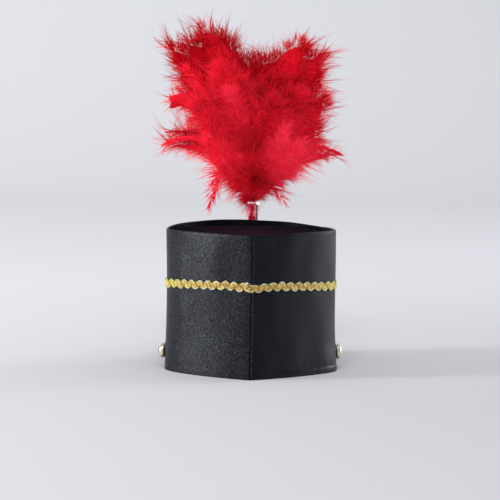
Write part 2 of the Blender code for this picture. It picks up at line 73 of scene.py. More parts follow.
CROWN_LOW, CROWN_HIGH = corners_of("crown")
CROWN_HEIGHT = CROWN_HIGH.z
HALF_WIDTH = (CROWN_HIGH.x - HEM_PROUD) / SECTION_SPREADS[0]
RIDGE_MITRE = 1.15         # how much further out a mitred offset lies at the seam
DEPTH = (CROWN_HIGH.y - CROWN_LOW.y - HEM_PROUD * (1 + RIDGE_MITRE)) / SECTION_SPREADS[0]
DEPTH_BACK = DEPTH * DEPTH_BACK_SHARE
DEPTH_FRONT = DEPTH - DEPTH_BACK
WIDEST_Y = CROWN_HIGH.y - HEM_PROUD - DEPTH_FRONT * SECTION_SPREADS[0]
RIDGE_ROUND = 0.0008       # how far from the seam its ridge is rounded
PLAN_STEPS = 5760


def smooth_step(value, low, high):
    """0 below low, 1 above high, and a smooth rise between them."""
    part = np.clip((value - low) / (high - low), 0, 1)
    return part * part * (3 - 2 * part)


def bell(value, middle, reach):
    """1 at the middle, falling off smoothly on both sides."""
    return np.exp(-((value - middle) / reach) ** 2)


def unit(vectors):
    """Vectors of length 1, along the last axis."""
    return vectors / np.maximum(np.linalg.norm(vectors, axis=-1, keepdims=True), 1e-12)


class Plan:
    """The crown's outline from above, read by its length from the back seam."""

    def __init__(self):
        angle = np.linspace(0, FULL_TURN, PLAN_STEPS + 1)
        side = np.sin(angle)
        flat = 1 - np.abs(side)
        back = SEAM_RIDGE * flat + (1 - SEAM_RIDGE) * np.cos(angle)
        front = (1 - np.abs(side) ** FRONT_FULLNESS) ** (1 / FRONT_FULLNESS)
        depth = np.where(np.cos(angle) >= 0, -DEPTH_BACK * back, DEPTH_FRONT * front)
        self.points = np.stack([HALF_WIDTH * side, depth], axis=1)
        steps = np.diff(self.points, axis=0)
        sizes = np.linalg.norm(steps, axis=1)
        self.lengths = np.concatenate([[0], np.cumsum(sizes)])
        self.perimeter = self.lengths[-1]
        ahead = steps / sizes[:, None]
        self.normals = np.stack([ahead[:, 1], -ahead[:, 0]], axis=1)
        self.middles = (self.lengths[1:] + self.lengths[:-1]) / 2

    def at(self, length):
        """Points and outward normals at lengths round from the back seam."""
        length = np.mod(length, self.perimeter)
        x, y = (np.interp(length, self.lengths, column) for column in self.points.T)
        normal_x, normal_y = (np.interp(length, self.middles, column) for column in self.normals.T)
        seam = 1 - smooth_step(np.minimum(length, self.perimeter - length), 0, RIDGE_ROUND)
        normal = unit(np.stack([normal_x * (1 - seam), normal_y], axis=-1))
        return np.stack([x, y], axis=-1), normal


PLAN = Plan()
GRID = np.linspace(-0.1, 1.1, 481)
KERNEL = np.hanning(41) / np.hanning(41).sum()
SMOOTH_SPREADS = np.convolve(
    np.interp(GRID, SECTION_HEIGHTS, SECTION_SPREADS), KERNEL, mode="same"
)


def wall(length, height, outset):
    """Points on the crown's outside, moved outwards, as an array of X, Y and Z."""
    length, height, outset = np.broadcast_arrays(length, height, outset)
    flat, normal = PLAN.at(length)
    share = np.clip(height / CROWN_HEIGHT, 0, 1)
    spread = np.interp(share, GRID, SMOOTH_SPREADS)
    flat = flat * spread[..., None] + normal * outset[..., None]
    return np.stack([flat[..., 0], flat[..., 1] + WIDEST_Y, height], axis=-1)


def ripple(seed, count, around, upward, length, height):
    """Soft waves over the crown that join up round it, between about -1 and 1."""
    random = np.random.default_rng(seed)
    total = np.zeros(np.broadcast(length, height).shape)
    for _ in range(count):
        turns = random.integers(*around)
        rise = random.uniform(*upward)
        phase = random.uniform(0, FULL_TURN)
        angle = turns * length / PLAN.perimeter + rise * height / CROWN_HEIGHT
        total = total + np.sin(FULL_TURN * angle + phase)
    return total / math.sqrt(count)


def grid_faces(rows, columns, closed_rows=False, closed_columns=True):
    """Quads of a grid of points that are numbered row by row."""
    row = np.arange(rows if closed_rows else rows - 1)[:, None]
    column = np.arange(columns if closed_columns else columns - 1)[None, :]
    next_row = (row + 1) % rows
    next_column = (column + 1) % columns
    quads = np.broadcast_arrays(
        row * columns + column,
        row * columns + next_column,
        next_row * columns + next_column,
        next_row * columns + column,
    )
    return np.stack(quads, -1).reshape(-1, 4)


def mesh_object(name, points, faces, look):
    """A smooth object from an array of points and one or more arrays of faces."""
    groups = faces if isinstance(faces, (list, tuple)) else [faces]
    corners = np.concatenate([group.ravel() for group in groups]).astype(np.int32)
    sizes = np.concatenate([np.full(len(g), g.shape[1]) for g in groups]).astype(np.int32)
    points = np.asarray(points, dtype=np.float32)
    data = bpy.data.meshes.new(name)
    data.vertices.add(points.size // 3)
    data.vertices.foreach_set("co", points.ravel())
    data.loops.add(len(corners))
    data.loops.foreach_set("vertex_index", corners)
    data.polygons.add(len(sizes))
    data.polygons.foreach_set("loop_start", (np.cumsum(sizes) - sizes).astype(np.int32))
    data.update(calc_edges=True)
    data.validate()
    data.shade_smooth()
    data.materials.append(look)
    made = bpy.data.objects.new(name, data)
    bpy.context.scene.collection.objects.link(made)
    return made


def piece(name, points, faces, look, slot, node=None, **layers):
    """A piece of the hat; each layer stores a number or a vector on the mesh's points."""
    made = mesh_object(name, points, faces, look)
    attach(made, "root")
    count = len(made.data.vertices)
    for title, values in layers.items():
        values = np.asarray(values, dtype=np.float32)
        if values.ndim == 0:
            values = np.full(count, values)
        vector = values.size == 3 * count
        layer = made.data.attributes.new(title, "FLOAT_VECTOR" if vector else "FLOAT", "POINT")
        layer.data.foreach_set("vector" if vector else "value", values.ravel())
    if node:
        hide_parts(node)
    return made


def tube_faces(rings, sides, start=0):
    """Side faces and two end caps of a tube, or of any stack of closed rings."""
    quads = grid_faces(rings, sides) + start
    first = np.arange(sides)[::-1][None, :] + start
    last = np.arange(sides)[None, :] + (rings - 1) * sides + start
    return quads, first, last


def turned(middle, radius, turn, height):
    """Rings of points round an upright line, from their radii and heights."""
    ring = np.broadcast_arrays(radius * np.cos(turn), radius * np.sin(turn), height)
    return middle + np.stack(ring, axis=-1)


class Tubes:
    """Many tubes that become one mesh."""

    def __init__(self, sides=6):
        self.sides = sides
        self.rings = []
        self.faces = []
        self.count = 0

    def add(self, path, radius, facing, twist=0, plies=0, depth=0):
        """Rings of points round a path; plies twist round it like rope."""
        ahead = unit(np.gradient(path, axis=0))
        across = unit(np.cross(facing, ahead))
        up = unit(np.cross(ahead, across))
        travelled = np.concatenate(
            [[0], np.cumsum(np.linalg.norm(np.diff(path, axis=0), axis=1))]
        )
        angle = FULL_TURN * np.arange(self.sides) / self.sides
        size = np.broadcast_to(radius, (len(path),))[:, None] * np.ones((1, self.sides))
        if plies:
            turn = angle[None, :] - twist * travelled[:, None]
            size = size * (1 - depth + depth * np.abs(np.cos(plies * turn / 2)))
        ring = (
            across[:, None, :] * np.cos(angle)[None, :, None]
            + up[:, None, :] * np.sin(angle)[None, :, None]
        )
        self.rings.append((path[:, None, :] + ring * size[..., None]).reshape(-1, 3))
        self.faces.extend(tube_faces(len(path), self.sides, self.count))
        self.count += size.size
        return size

    def points(self):
        return np.concatenate(self.rings)


# Materials

class Look:
    """A Principled material and short ways to add nodes to it."""

    def __init__(self, name, colour, roughness, metallic=0):
        self.material = bpy.data.materials.new(name)
        self.material.use_nodes = True
        self.tree = self.material.node_tree
        self.shader = self.tree.nodes["Principled BSDF"]
        self.feed("Base Color", colour)
        self.feed("Roughness", roughness)
        self.feed("Metallic", metallic)

    def put(self, socket, source):
        """Give a socket a number, a vector, a colour or another node's output."""
        if isinstance(source, bpy.types.NodeSocket):
            self.tree.links.new(source, socket)
            return
        if isinstance(source, tuple) and len(source) < len(socket.default_value):
            source = (*source, 1)
        socket.default_value = source

    def feed(self, socket, source):
        self.put(self.shader.inputs[socket], source)

    def node(self, kind, output, inputs, **settings):
        """The output of a new node, whose inputs are given by name or number."""
        made = self.tree.nodes.new("ShaderNode" + kind)
        for name, value in settings.items():
            setattr(made, name, value)
        for socket, source in inputs.items():
            self.put(made.inputs[socket], source)
        return made.outputs[output]

    def place(self, scale, name=None):
        """Coordinates, stretched: the object's, or a vector stored on the mesh."""
        source = self.value(name, "Vector") if name else self.node("TexCoord", "Object", {})
        return self.node("Mapping", "Vector", {"Scale": scale, "Vector": source})

    def value(self, name, output="Fac"):
        """A number or a vector stored on the mesh."""
        return self.node("Attribute", output, {}, attribute_name=name)

    def texture(self, kind, output, scale, name, **inputs):
        """A texture, whose scale is one number or one for each axis."""
        scale, stretch = (1, scale) if isinstance(scale, tuple) else (scale, (1, 1, 1))
        inputs = {"Scale": scale, "Vector": self.place(stretch, name), **inputs}
        return self.node("Tex" + kind, output, inputs)

    def noise(self, scale, detail=2, rough=0.5, name=None):
        return self.texture("Noise", "Fac", scale, name, Detail=detail, Roughness=rough)

    def cells(self, scale, output="Color", name=None):
        return self.texture("Voronoi", output, scale, name)

    def math(self, operation, *sources):
        return self.node("Math", "Value", dict(enumerate(sources)), operation=operation)

    def ramp(self, source, *stops):
        """A colour ramp: stops are pairs of a place and a colour."""
        made = self.tree.nodes.new("ShaderNodeValToRGB")
        elements = made.color_ramp.elements
        while len(elements) < len(stops):
            elements.new(0.5)
        for element, (place, colour) in zip(elements, stops):
            element.position = place
            element.color = (*colour, 1)
        self.put(made.inputs["Fac"], source)
        return made.outputs["Color"]

    def range(self, source, low, high, to_low, to_high):
        return self.node("MapRange", "Result", {
            "Value": source, "From Min": low, "From Max": high, "To Min": to_low, "To Max": to_high,
        })

    def mix(self, factor, one, two, blend="MIX"):
        sources = {0: factor, 6: one, 7: two}
        return self.node("Mix", 2, sources, data_type="RGBA", blend_type=blend)

    def bump(self, height, strength, distance, **under):
        sources = {"Height": height, "Strength": strength, "Distance": distance, **under}
        return self.node("Bump", "Normal", sources)

    def darken(self, colour, shade):
        """A colour times a number."""
        grey = self.ramp(shade, (0, (0, 0, 0)), (1, (1, 1, 1)))
        return self.mix(1, colour, grey, "MULTIPLY")


SATIN_BASE = (0.0040, 0.0046, 0.0062)
SATIN_PAINTED_GLINT = (0.052, 0.060, 0.080)    # painted glints on the satin's grain


def satin():
    """Black satin: fine warp threads, a grain that glints through its specular and through painted
    glints in its colour, and a soft highlight.
    """
    look = Look("black_satin_finish", SATIN_BASE, 0.34)
    grain = look.value("grain")
    threads = look.noise((5200, 900, 1), 2, 0.6, "wall")
    coarse = look.noise((1700, 1400, 1), 3, 0.62, "wall")
    cloudy = look.noise((60, 22, 1), name="wall")
    patchy = look.noise((210, 170, 1), name="wall")
    fleck = look.cells((1500, 1400, 1), name="wall")
    fine = look.bump(threads, 0.2, 0.0002)
    strength = look.range(grain, 0, 1, 0.06, 0.42)
    look.feed("Normal", look.bump(coarse, strength, 0.0004, Normal=fine))
    dark, light = (tuple(share * part for part in SATIN_BASE) for share in (0.7, 1.45))
    colour = look.ramp(cloudy, (0.3, dark), (0.7, light))
    # Painted glints: pale specks mixed into the satin's colour where the grain is strong.
    bright = look.math("MULTIPLY", look.range(fleck, 0.78, 0.97, 0, 0.7), grain)
    bright = look.math("MULTIPLY", bright, look.range(patchy, 0.3, 0.7, 0.5, 1.2))
    look.feed("Base Color", look.mix(bright, colour, SATIN_PAINTED_GLINT))
    look.feed("Roughness", look.range(coarse, 0.3, 0.7, 0.3, 0.4))
    shine = look.math("MULTIPLY", look.range(fleck, 0.5, 0.95, 0.16, 0.8), grain)
    shine = look.math("MULTIPLY_ADD", look.math("SUBTRACT", 1, grain), 0.3, shine)
    look.feed("Specular IOR Level", look.math("MULTIPLY", shine, look.value("outside")))
    look.feed("Specular Tint", (0.82, 0.85, 1))
    return look.material


def top_cloth():
    """The recessed top: dull black cloth with a painted dark maroon reflection of the plume."""
    look = Look("top_satin_finish", (0.008, 0.003, 0.005), 0.7)
    weave = look.noise((1500, 1500, 1), 3, 0.6, "wall")
    cast = look.noise((14, 9, 1), name="wall")
    # Painted reflection: a dark maroon tint for the red plume mirrored in the top.
    colour = look.ramp(cast, (0.35, (0.009, 0.007, 0.01)), (0.65, (0.02, 0.008, 0.012)))
    look.feed("Base Color", look.mix(look.value("cast"), (0.007, 0.007, 0.009), colour))
    look.feed("Roughness", look.range(weave, 0.3, 0.7, 0.6, 0.85))
    look.feed("Normal", look.bump(weave, 0.5, 0.0004))
    look.feed("Specular IOR Level", 0)
    return look.material


def fibre(name, colour, roughness, scale, dark, light, relief):
    """A fibre's finish: streaks between a dark and a light colour, with a slight relief."""
    look = Look(name, colour, roughness)
    streak = look.noise(scale)
    look.feed("Base Color", look.ramp(streak, (0.3, dark), (0.7, light)))
    look.feed("Normal", look.bump(streak, relief, 0.0002))
    return look.material


def gold_thread():
    """Metallised thread: twisted and glinting, with painted glints in its colour, a painted
    highlight that leaves the outer cords of each scroll palest, painted shade in the troughs between
    the plies and painted light that turns it yellower towards the sides.
    """
    look = Look("gold_gimp", (0.9, 0.7, 0.26), 0.34, 0.55)
    rank = look.value("rank")
    tone = look.noise(300)
    glints_and_wear = look.noise(1500)
    dull = look.ramp(tone, (0.28, (0.42, 0.2, 0.03)), (0.46, (0.92, 0.58, 0.11)),
                     (0.66, (1, 0.8, 0.26)))
    # Painted highlight: this pale colour goes on the outer cords of each scroll.
    pale = look.ramp(tone, (0.28, (1, 0.78, 0.22)), (0.44, (1, 0.93, 0.42)),
                     (0.6, (1, 1, 0.8)))
    colour = look.mix(look.range(rank, 0.55, 0.92, 0, 1), dull, pale)
    # Painted glints: spots of pale yellow mixed into the colour; the same noise also varies the
    # roughness and relief.
    colour = look.mix(look.range(glints_and_wear, 0.56, 0.66, 0, 0.8), colour, (1, 0.94, 0.46))
    # Painted light: yellower and brighter towards the sides.
    colour = look.mix(look.value("side"), colour, (1, 0.9, 0.24))
    colour = look.mix(look.range(rank, 1.1, 1.3, 0, 0.9), colour, (1, 0.88, 0.74))
    # Painted shade: darker in the troughs between the plies and on the band under the cords.
    shade = look.range(look.value("turn"), 0, 1, 0.16, 1.22)
    look.feed("Base Color", look.darken(colour, shade))
    look.feed("Metallic", look.value("metal"))
    look.feed("Specular IOR Level", 0.35)
    look.feed("Roughness", look.range(glints_and_wear, 0.3, 0.7, 0.24, 0.45))
    look.feed("Normal", look.bump(glints_and_wear, 0.4, 0.0002))
    return look.material


def pale_brass():
    """Polished pale brass with faint wear, with a painted brown reflection low on the dome and a
    painted dark reflection on its top.
    """
    look = Look("pale_brass_finish", (0.8, 0.68, 0.44), 0.3, 0.72)
    dull = look.noise(420, 3)
    scratch = look.noise((300, 3200, 900), 2, 0.6)
    colour = look.ramp(dull, (0.3, (0.7, 0.54, 0.3)), (0.5, (0.92, 0.84, 0.62)),
                       (0.7, (0.97, 0.95, 0.8)))
    # Painted reflections: brown low on the dome, near black on its top.
    colour = look.mix(look.value("warm"), colour, (0.26, 0.06, 0.03))
    look.feed("Base Color", look.mix(look.value("cap"), colour, (0.035, 0.035, 0.03)))
    look.feed("Roughness", look.range(dull, 0.3, 0.7, 0.24, 0.38))
    look.feed("Normal", look.bump(scratch, 0.08, 0.0001))
    return look.material


def black_sheet(name, roughness, grain, level, coat):
    """Black sheet with a faint pebble and soft smears, from dull to glossy."""
    look = Look(name, (0.007, 0.007, 0.009), roughness)
    pebble = look.cells(1400, "Distance")
    smear = look.noise(45, 3)
    look.feed("Normal", look.bump(pebble, grain, 0.0003))
    look.feed("Roughness", look.range(smear, 0.3, 0.7, roughness * 0.8, roughness * 1.4))
    stops = ((0.3, (0.004, 0.004, 0.005)), (0.7, (0.010, 0.010, 0.012)))
    look.feed("Base Color", look.ramp(smear, *stops))
    look.feed("Specular IOR Level", level)
    look.feed("Coat Weight", coat)
    look.feed("Coat Roughness", 0.08)
    return look.material


def feather_red():
    """Dyed down: deep red in the mass, brighter and pinker along the loose barbs, with painted light
    and shade from the stored shade and a painted glow where it is brightest.
    """
    look = Look("plume_down", (0.86, 0.01, 0.035), 0.6)
    shade = look.value("shade")
    patch = look.math("MULTIPLY_ADD", look.noise(38), 0.2, -0.1)
    # The stored shade is painted light and shade over the plume.
    colour = look.ramp(
        look.math("ADD", shade, patch),
        (0, (0.42, 0, 0.004)), (0.5, (0.95, 0.006, 0.028)), (1, (1, 0.034, 0.08)),
    )
    tip = look.range(look.value("along"), 0.3, 1, 0, 0.3)
    colour = look.mix(tip, colour, (0.98, 0.035, 0.08))
    look.feed("Base Color", colour)
    # Painted glow: the feathers emit their own colour, most where the stored shade is bright.
    look.feed("Emission Color", colour)
    look.feed("Emission Strength", look.range(shade, 0.65, 1, 0.03, 0.11))
    look.feed("Specular IOR Level", 0.1)
    look.feed("Sheen Weight", 0.03)
    look.feed("Sheen Roughness", 0.5)
    look.feed("Sheen Tint", (1, 0.2, 0.26))
    return look.material


def foil_red():
    """Shiny red wrapping with painted pale glints on its creases."""
    look = Look("red_foil", (0.72, 0.02, 0.07), 0.25, 0.55)
    crease = look.noise((640, 640, 220), 3, 0.6)
    # The palest stops of this ramp, and the pale cells below, are painted glints.
    colour = look.ramp(
        crease, (0.34, (0.34, 0, 0.014)), (0.5, (0.78, 0.008, 0.045)),
        (0.58, (0.92, 0.1, 0.16)), (0.65, (1, 0.84, 0.85)),
    )
    foil_glints = look.range(look.cells(620), 0.78, 0.92, 0, 0.9)
    look.feed("Base Color", look.mix(foil_glints, colour, (1, 0.62, 0.68)))
    look.feed("Normal", look.bump(crease, 0.7, 0.0006))
    look.feed("Roughness", look.range(crease, 0.3, 0.7, 0.16, 0.4))
    return look.material


def plain_tie():
    """Smooth white plastic, with pink painted on the band for the feathers' red light falling on it,
    and a painted glow that is strongest on the knob.
    """
    look = Look("white_tie_finish", (0.94, 0.9, 0.91), 0.35)
    knob = look.value("knob")
    tone = look.noise(500)
    white = look.ramp(tone, (0.3, (0.93, 0.88, 0.89)), (0.5, (0.99, 0.98, 0.97)))
    # Painted light: pink on the band for the red light from the feathers.
    pink = look.ramp(tone, (0.3, (0.9, 0.52, 0.58)), (0.6, (0.99, 0.84, 0.86)))
    look.feed("Base Color", look.mix(knob, pink, white))
    # Painted glow: the tie emits a pale light, strongest on the knob.
    look.feed("Emission Color", (1, 0.97, 0.96))
    look.feed("Emission Strength", look.range(knob, 0, 1, 0.05, 0.34))
    look.feed("Normal", look.bump(tone, 0.15, 0.0002))
    return look.material


# Crown

SEAM_LEAN = 0.0018         # how far the seam leans to the right over the crown's height
SEAM_FOLD = 0.0055         # width of the left panel's folded edge
SHEEN_PLACES = (-0.105, -0.085, -0.045, -0.022, 0.000, 0.030, 0.046, 0.060, 0.074, 0.088, 0.105)
SHEEN = (0.85, 1.0, 1.0, 0.72, 0.68, 0.98, 1.15, 1.50, 1.35, 1.02, 0.85)  # the shine there
RIM_PLACES = (-0.085, -0.056, -0.034, -0.006, 0.012, 0.031, 0.042, 0.053, 0.064, 0.075, 0.085)
RIM_DIPS = (                # how far the front rim stands above its even height there
    0.0001, 0.0004, 0.0009, 0.0005, -0.0002, -0.0006, -0.0009, -0.0016, -0.0023, -0.0024, -0.001,
)
CORNER_AWAY = 0.108        # where the lower edge turns out on the right, from the seam
CORNER_FLARE = 0.0013      # and how far
LOWER_EDGE = 0.0006        # how far the wall's lower edge is cut back
CROWN_COLUMNS = 520
OUTER_ROWS = 76
TOP_COLUMNS = 420


def seam_line(height):
    """How far right of the ridge the seam runs at a height."""
    wander = 0.00018 * np.sin(height * 170) + 0.00012 * np.sin(height * 410 + 1)
    return SEAM_LEAN * (height / CROWN_HEIGHT - 0.5) + wander


def signed(length):
    """Lengths as distances from the back seam, negative on the left."""
    return np.mod(length + PLAN.perimeter / 2, PLAN.perimeter) - PLAN.perimeter / 2


def cover_relief(length, height):
    """How far the satin stands off the wall: seam, puckers, hem and soft waves."""
    away = signed(length) - seam_line(height)
    fold = 0.00012 * smooth_step(away, -SEAM_FOLD - 0.006, -SEAM_FOLD)
    fold = fold * (1 - smooth_step(away, -0.0004, 0.0003))
    groove = -0.00085 * bell(away, 0.0005, 0.00055)
    pucker = 0.0001 * ripple(11, 6, (2, 30), (9, 24), length, height)
    pucker = pucker * np.exp(-np.abs(away) / 0.011)
    soft = 0.00035 * ripple(5, 9, (3, 16), (-1.6, 1.6), length, height)
    soft = soft * smooth_step(height, 0, 0.02) * (1 - smooth_step(height, 0.13, 0.146))
    right = smooth_step(away, 0.015, 0.075)
    hem = HEM_PROUD * (1 - smooth_step(height, HEM_HEIGHT - 0.0004, HEM_HEIGHT + 0.0007))
    hem = hem * (0.1 + 0.75 * right)
    crease = -0.0001 * bell(height, HEM_HEIGHT + 0.0009, 0.0007) * right
    tug = 0.0001 * ripple(8, 6, (30, 70), (-2, 2), length, height)
    tug = tug * np.exp(-np.abs(height - HEM_HEIGHT) / 0.006)
    flare = CORNER_FLARE * bell(away, CORNER_AWAY, 0.022) * (1 - smooth_step(height, 0, 0.034))
    return fold + groove + pucker + soft + hem + crease + tug + flare


def make_crown():
    """The satin cover: outer wall, rounded rim, inner wall and lower edge."""
    radius = WALL / 2
    rim = CROWN_HEIGHT - radius
    outer = LOWER_EDGE + np.linspace(0, 1, OUTER_ROWS) ** 1.25 * (rim - LOWER_EDGE)
    turn = np.linspace(0, np.pi, 13)[1:-1]
    inner = np.linspace(rim, LOWER_EDGE, 16)
    height = np.concatenate([[0], outer, rim + radius * np.sin(turn), inner, [0]])
    outset = np.concatenate([
        [-LOWER_EDGE], np.zeros(len(outer)), radius * np.cos(turn) - radius,
        np.full(len(inner), -WALL), [LOWER_EDGE - WALL],
    ])
    outside = np.concatenate([
        np.ones(1 + len(outer)), (1 + np.cos(turn)) / 2, np.zeros(len(inner) + 1),
    ])
    spaced = np.linspace(-1, 1, CROWN_COLUMNS, endpoint=False)
    closer = np.sign(spaced) * (0.45 * np.abs(spaced) + 0.55 * np.abs(spaced) ** 1.8)
    lengths, heights = np.meshgrid(PLAN.perimeter / 2 * closer, height)
    lengths = lengths + seam_line(heights) * bell(signed(lengths), 0, 0.02)
    relief = cover_relief(lengths, heights) * outside[:, None]
    points = wall(lengths, heights, outset[:, None] + relief)
    back = 1 - smooth_step(points[..., 1], WIDEST_Y, WIDEST_Y + 0.03)
    sway = 0.0003 * ripple(21, 4, (1, 5), (0, 0.01), lengths, 0) * back
    sway = sway + np.interp(points[..., 0], RIM_PLACES, RIM_DIPS) * (1 - back)
    points[..., 2] += sway * smooth_step(heights, 0.1, CROWN_HEIGHT)
    across = signed(lengths)
    beside = across - seam_line(heights)
    left = 1 - smooth_step(beside, -0.0002, 0.0006)
    front = smooth_step(np.abs(across), 0.3 * PLAN.perimeter, 0.45 * PLAN.perimeter)
    sheen = np.interp(across, SHEEN_PLACES, SHEEN) * (1 - 0.97 * bell(beside, 0.0001, 0.0007))
    sheen = sheen + 1.3 * bell(beside, 0.002, 0.0006)
    piece(
        "crown_cover", points, grid_faces(len(height), CROWN_COLUMNS, closed_rows=True), satin(),
        "black_satin", "crown",
        wall=np.stack([across, heights, outset[:, None] * np.ones_like(across)], axis=-1),
        grain=0.1 + 0.9 * left * (1 - 0.6 * front),
        outside=(0.12 + 0.88 * outside)[:, None] * sheen,
    )


def make_top():
    """The recessed top: satin drawn over a disc, with small gathers at its edge."""
    low, high = corners_of("crown_top")
    length = PLAN.perimeter * np.arange(TOP_COLUMNS) / TOP_COLUMNS
    edge = wall(length, high.z, -(WALL + GAP))
    middle = np.array([0, (edge[:, 1].max() + edge[:, 1].min()) / 2, high.z])
    rows = []
    gather = 0.00022 * ripple(31, 9, (40, 120), (0, 0.01), length, 0)
    for share in [0.02, *np.linspace(0.08, 0.94, 26), 0.97, 0.985, 0.995, 1]:
        ring = middle + (edge - middle) * share
        fall = 0.001 * smooth_step(share, 0, 1) + 0.0008 * smooth_step(share, 0.97, 1)
        swell = np.sin(ring[:, 0] * 61 + 1.1) * np.sin(ring[:, 1] * 47 + 0.4)
        swell = 0.0005 * (swell * smooth_step(1 - share, 0, 0.3) - 1)
        ring[:, 2] = high.z - fall + gather * smooth_step(share, 0.82, 0.98) + swell
        rows.append(ring)
    for share in (0.999, 0.02):
        ring = middle + (edge - middle) * share
        ring[:, 2] = low.z
        rows.append(ring)
    points = np.stack(rows)
    piece(
        "top_cover", points, tube_faces(len(rows), TOP_COLUMNS), top_cloth(),
        "top_satin", "crown_top",
        # Mask of the painted maroon reflection of the plume, strongest in the middle.
        wall=points * (1, 1, 0), cast=bell(points[..., 0], 0, 0.055),
    )


def make_seam_stitches():
    """Small slanting stitches beside the seam, on its right, in the lower half."""
    tubes = Tubes()
    random = np.random.default_rng(17)
    for height in np.arange(0.006, 0.139, 0.0042):
        if random.random() < (0.85 if height > 0.078 else 0.3):
            continue
        start = seam_line(height) + 0.0013 + random.normal(0, 0.00012)
        path = wall(
            start + np.array([-0.0002, 0, 0.0002, 0.0003]),
            height + np.array([0, 0.0007, 0.0014, 0.0021]),
            np.array([-0.0001, 0.00016, 0.00016, -0.0001]),
        )
        tubes.add(path, 0.00022, (0, -1, 0.2))
    thread = fibre("seam_thread", (0.05, 0.052, 0.06), 0.5, 2500,
                   (0.012, 0.012, 0.015), (0.08, 0.08, 0.095), 0.4)
    piece("seam_stitches", tubes.points(), tubes.faces, thread, "black_satin")


# Braid

BRAID_HEIGHT = 0.0885
BRAID_RISE = 0.0043
BRAID_RISE_POWER = 0.6
BRAID_PITCH = 0.0106
BRAID_FLATTEN = 0.93       # how much lower the scroll is than round
BRAID_BASE_HALF = 0.0031   # half the height of the woven band under the cords
BRAID_BASE_THICK = 0.0005
BRAID_BASE_COLUMNS = 1440
BRAID_START = 0.0006       # where the first scroll begins, past the join at the seam
BRAID_OPEN = 0.0004        # how much of the way round the scrolls leave free there
BRAID_KNOTS = 150          # places round the hat where the sewing wanders
CORDS = 4
CORD_RADIUS = 0.0005
CORD_STEP = 0.00118        # from cord to cord across the ribbon
CORD_PLIES = (2600.0, 2, 0.22)   # their twist in radians a metre, how many and how deep
ARC_POINTS = 18
FRAYS = 16                 # loose strands at the braid's end

# How far the braid is sewn above its even line: a share of the way round, minus is left
BRAID_SHARES = (-0.5, -0.25, -0.14, -0.045, -0.01, 0.0, 0.0001, 0.014, 0.04, 0.163, 0.25, 0.5)
BRAID_SHIFTS = (
    0, 0.0006, 0.0009, 0.0017, 0.0007, 0.0004, -0.0012, 0, 0.0013, -0.0008, -0.0005, 0,
)


def braid_middle(length):
    """Height of the braid's middle line, higher towards the back seam and sewn unevenly."""
    depth = np.clip(-PLAN.at(length)[0][..., 1] / DEPTH_BACK, 0, 1)
    shift = np.interp(signed(length) / PLAN.perimeter, BRAID_SHARES, BRAID_SHIFTS)
    return BRAID_HEIGHT + BRAID_RISE * depth ** BRAID_RISE_POWER + shift


def scroll(offset, lobes, pitch):
    """A cord's run: half circles, over and under in turn, as places along and up."""
    middle = pitch / 4
    reach = CORD_STEP * (CORDS - 1) / 2
    lobe = np.arange(lobes)[:, None]
    sign = 1 - 2 * (lobe % 2)
    radius = middle + sign * offset
    turn = np.linspace(0, np.pi, ARC_POINTS, endpoint=False)
    along = BRAID_START + middle + lobe * 2 * middle - radius * np.cos(turn)
    up = sign * radius * np.sin(turn)
    rank = 0.5 + 0.5 * sign * offset / reach * np.sin(turn)
    return along.ravel(), up.ravel(), rank.ravel()


def braid_piece(name, points, faces, look, turn, rank):
    """A piece of the braid: barer metal on the left, and painted light that turns it yellower
    towards the sides.
    """
    x = points.reshape(-1, 3)[:, 0]
    piece(
        name, points, faces, look, "gold_braid", "braid", turn=turn, rank=rank,
        metal=np.interp(x, (-0.03, 0.03), (0.36, 0.1)),
        # Mask of the painted light that makes the braid yellower towards the sides.
        side=0.7 * smooth_step(np.abs(x), 0.052, 0.08),
    )


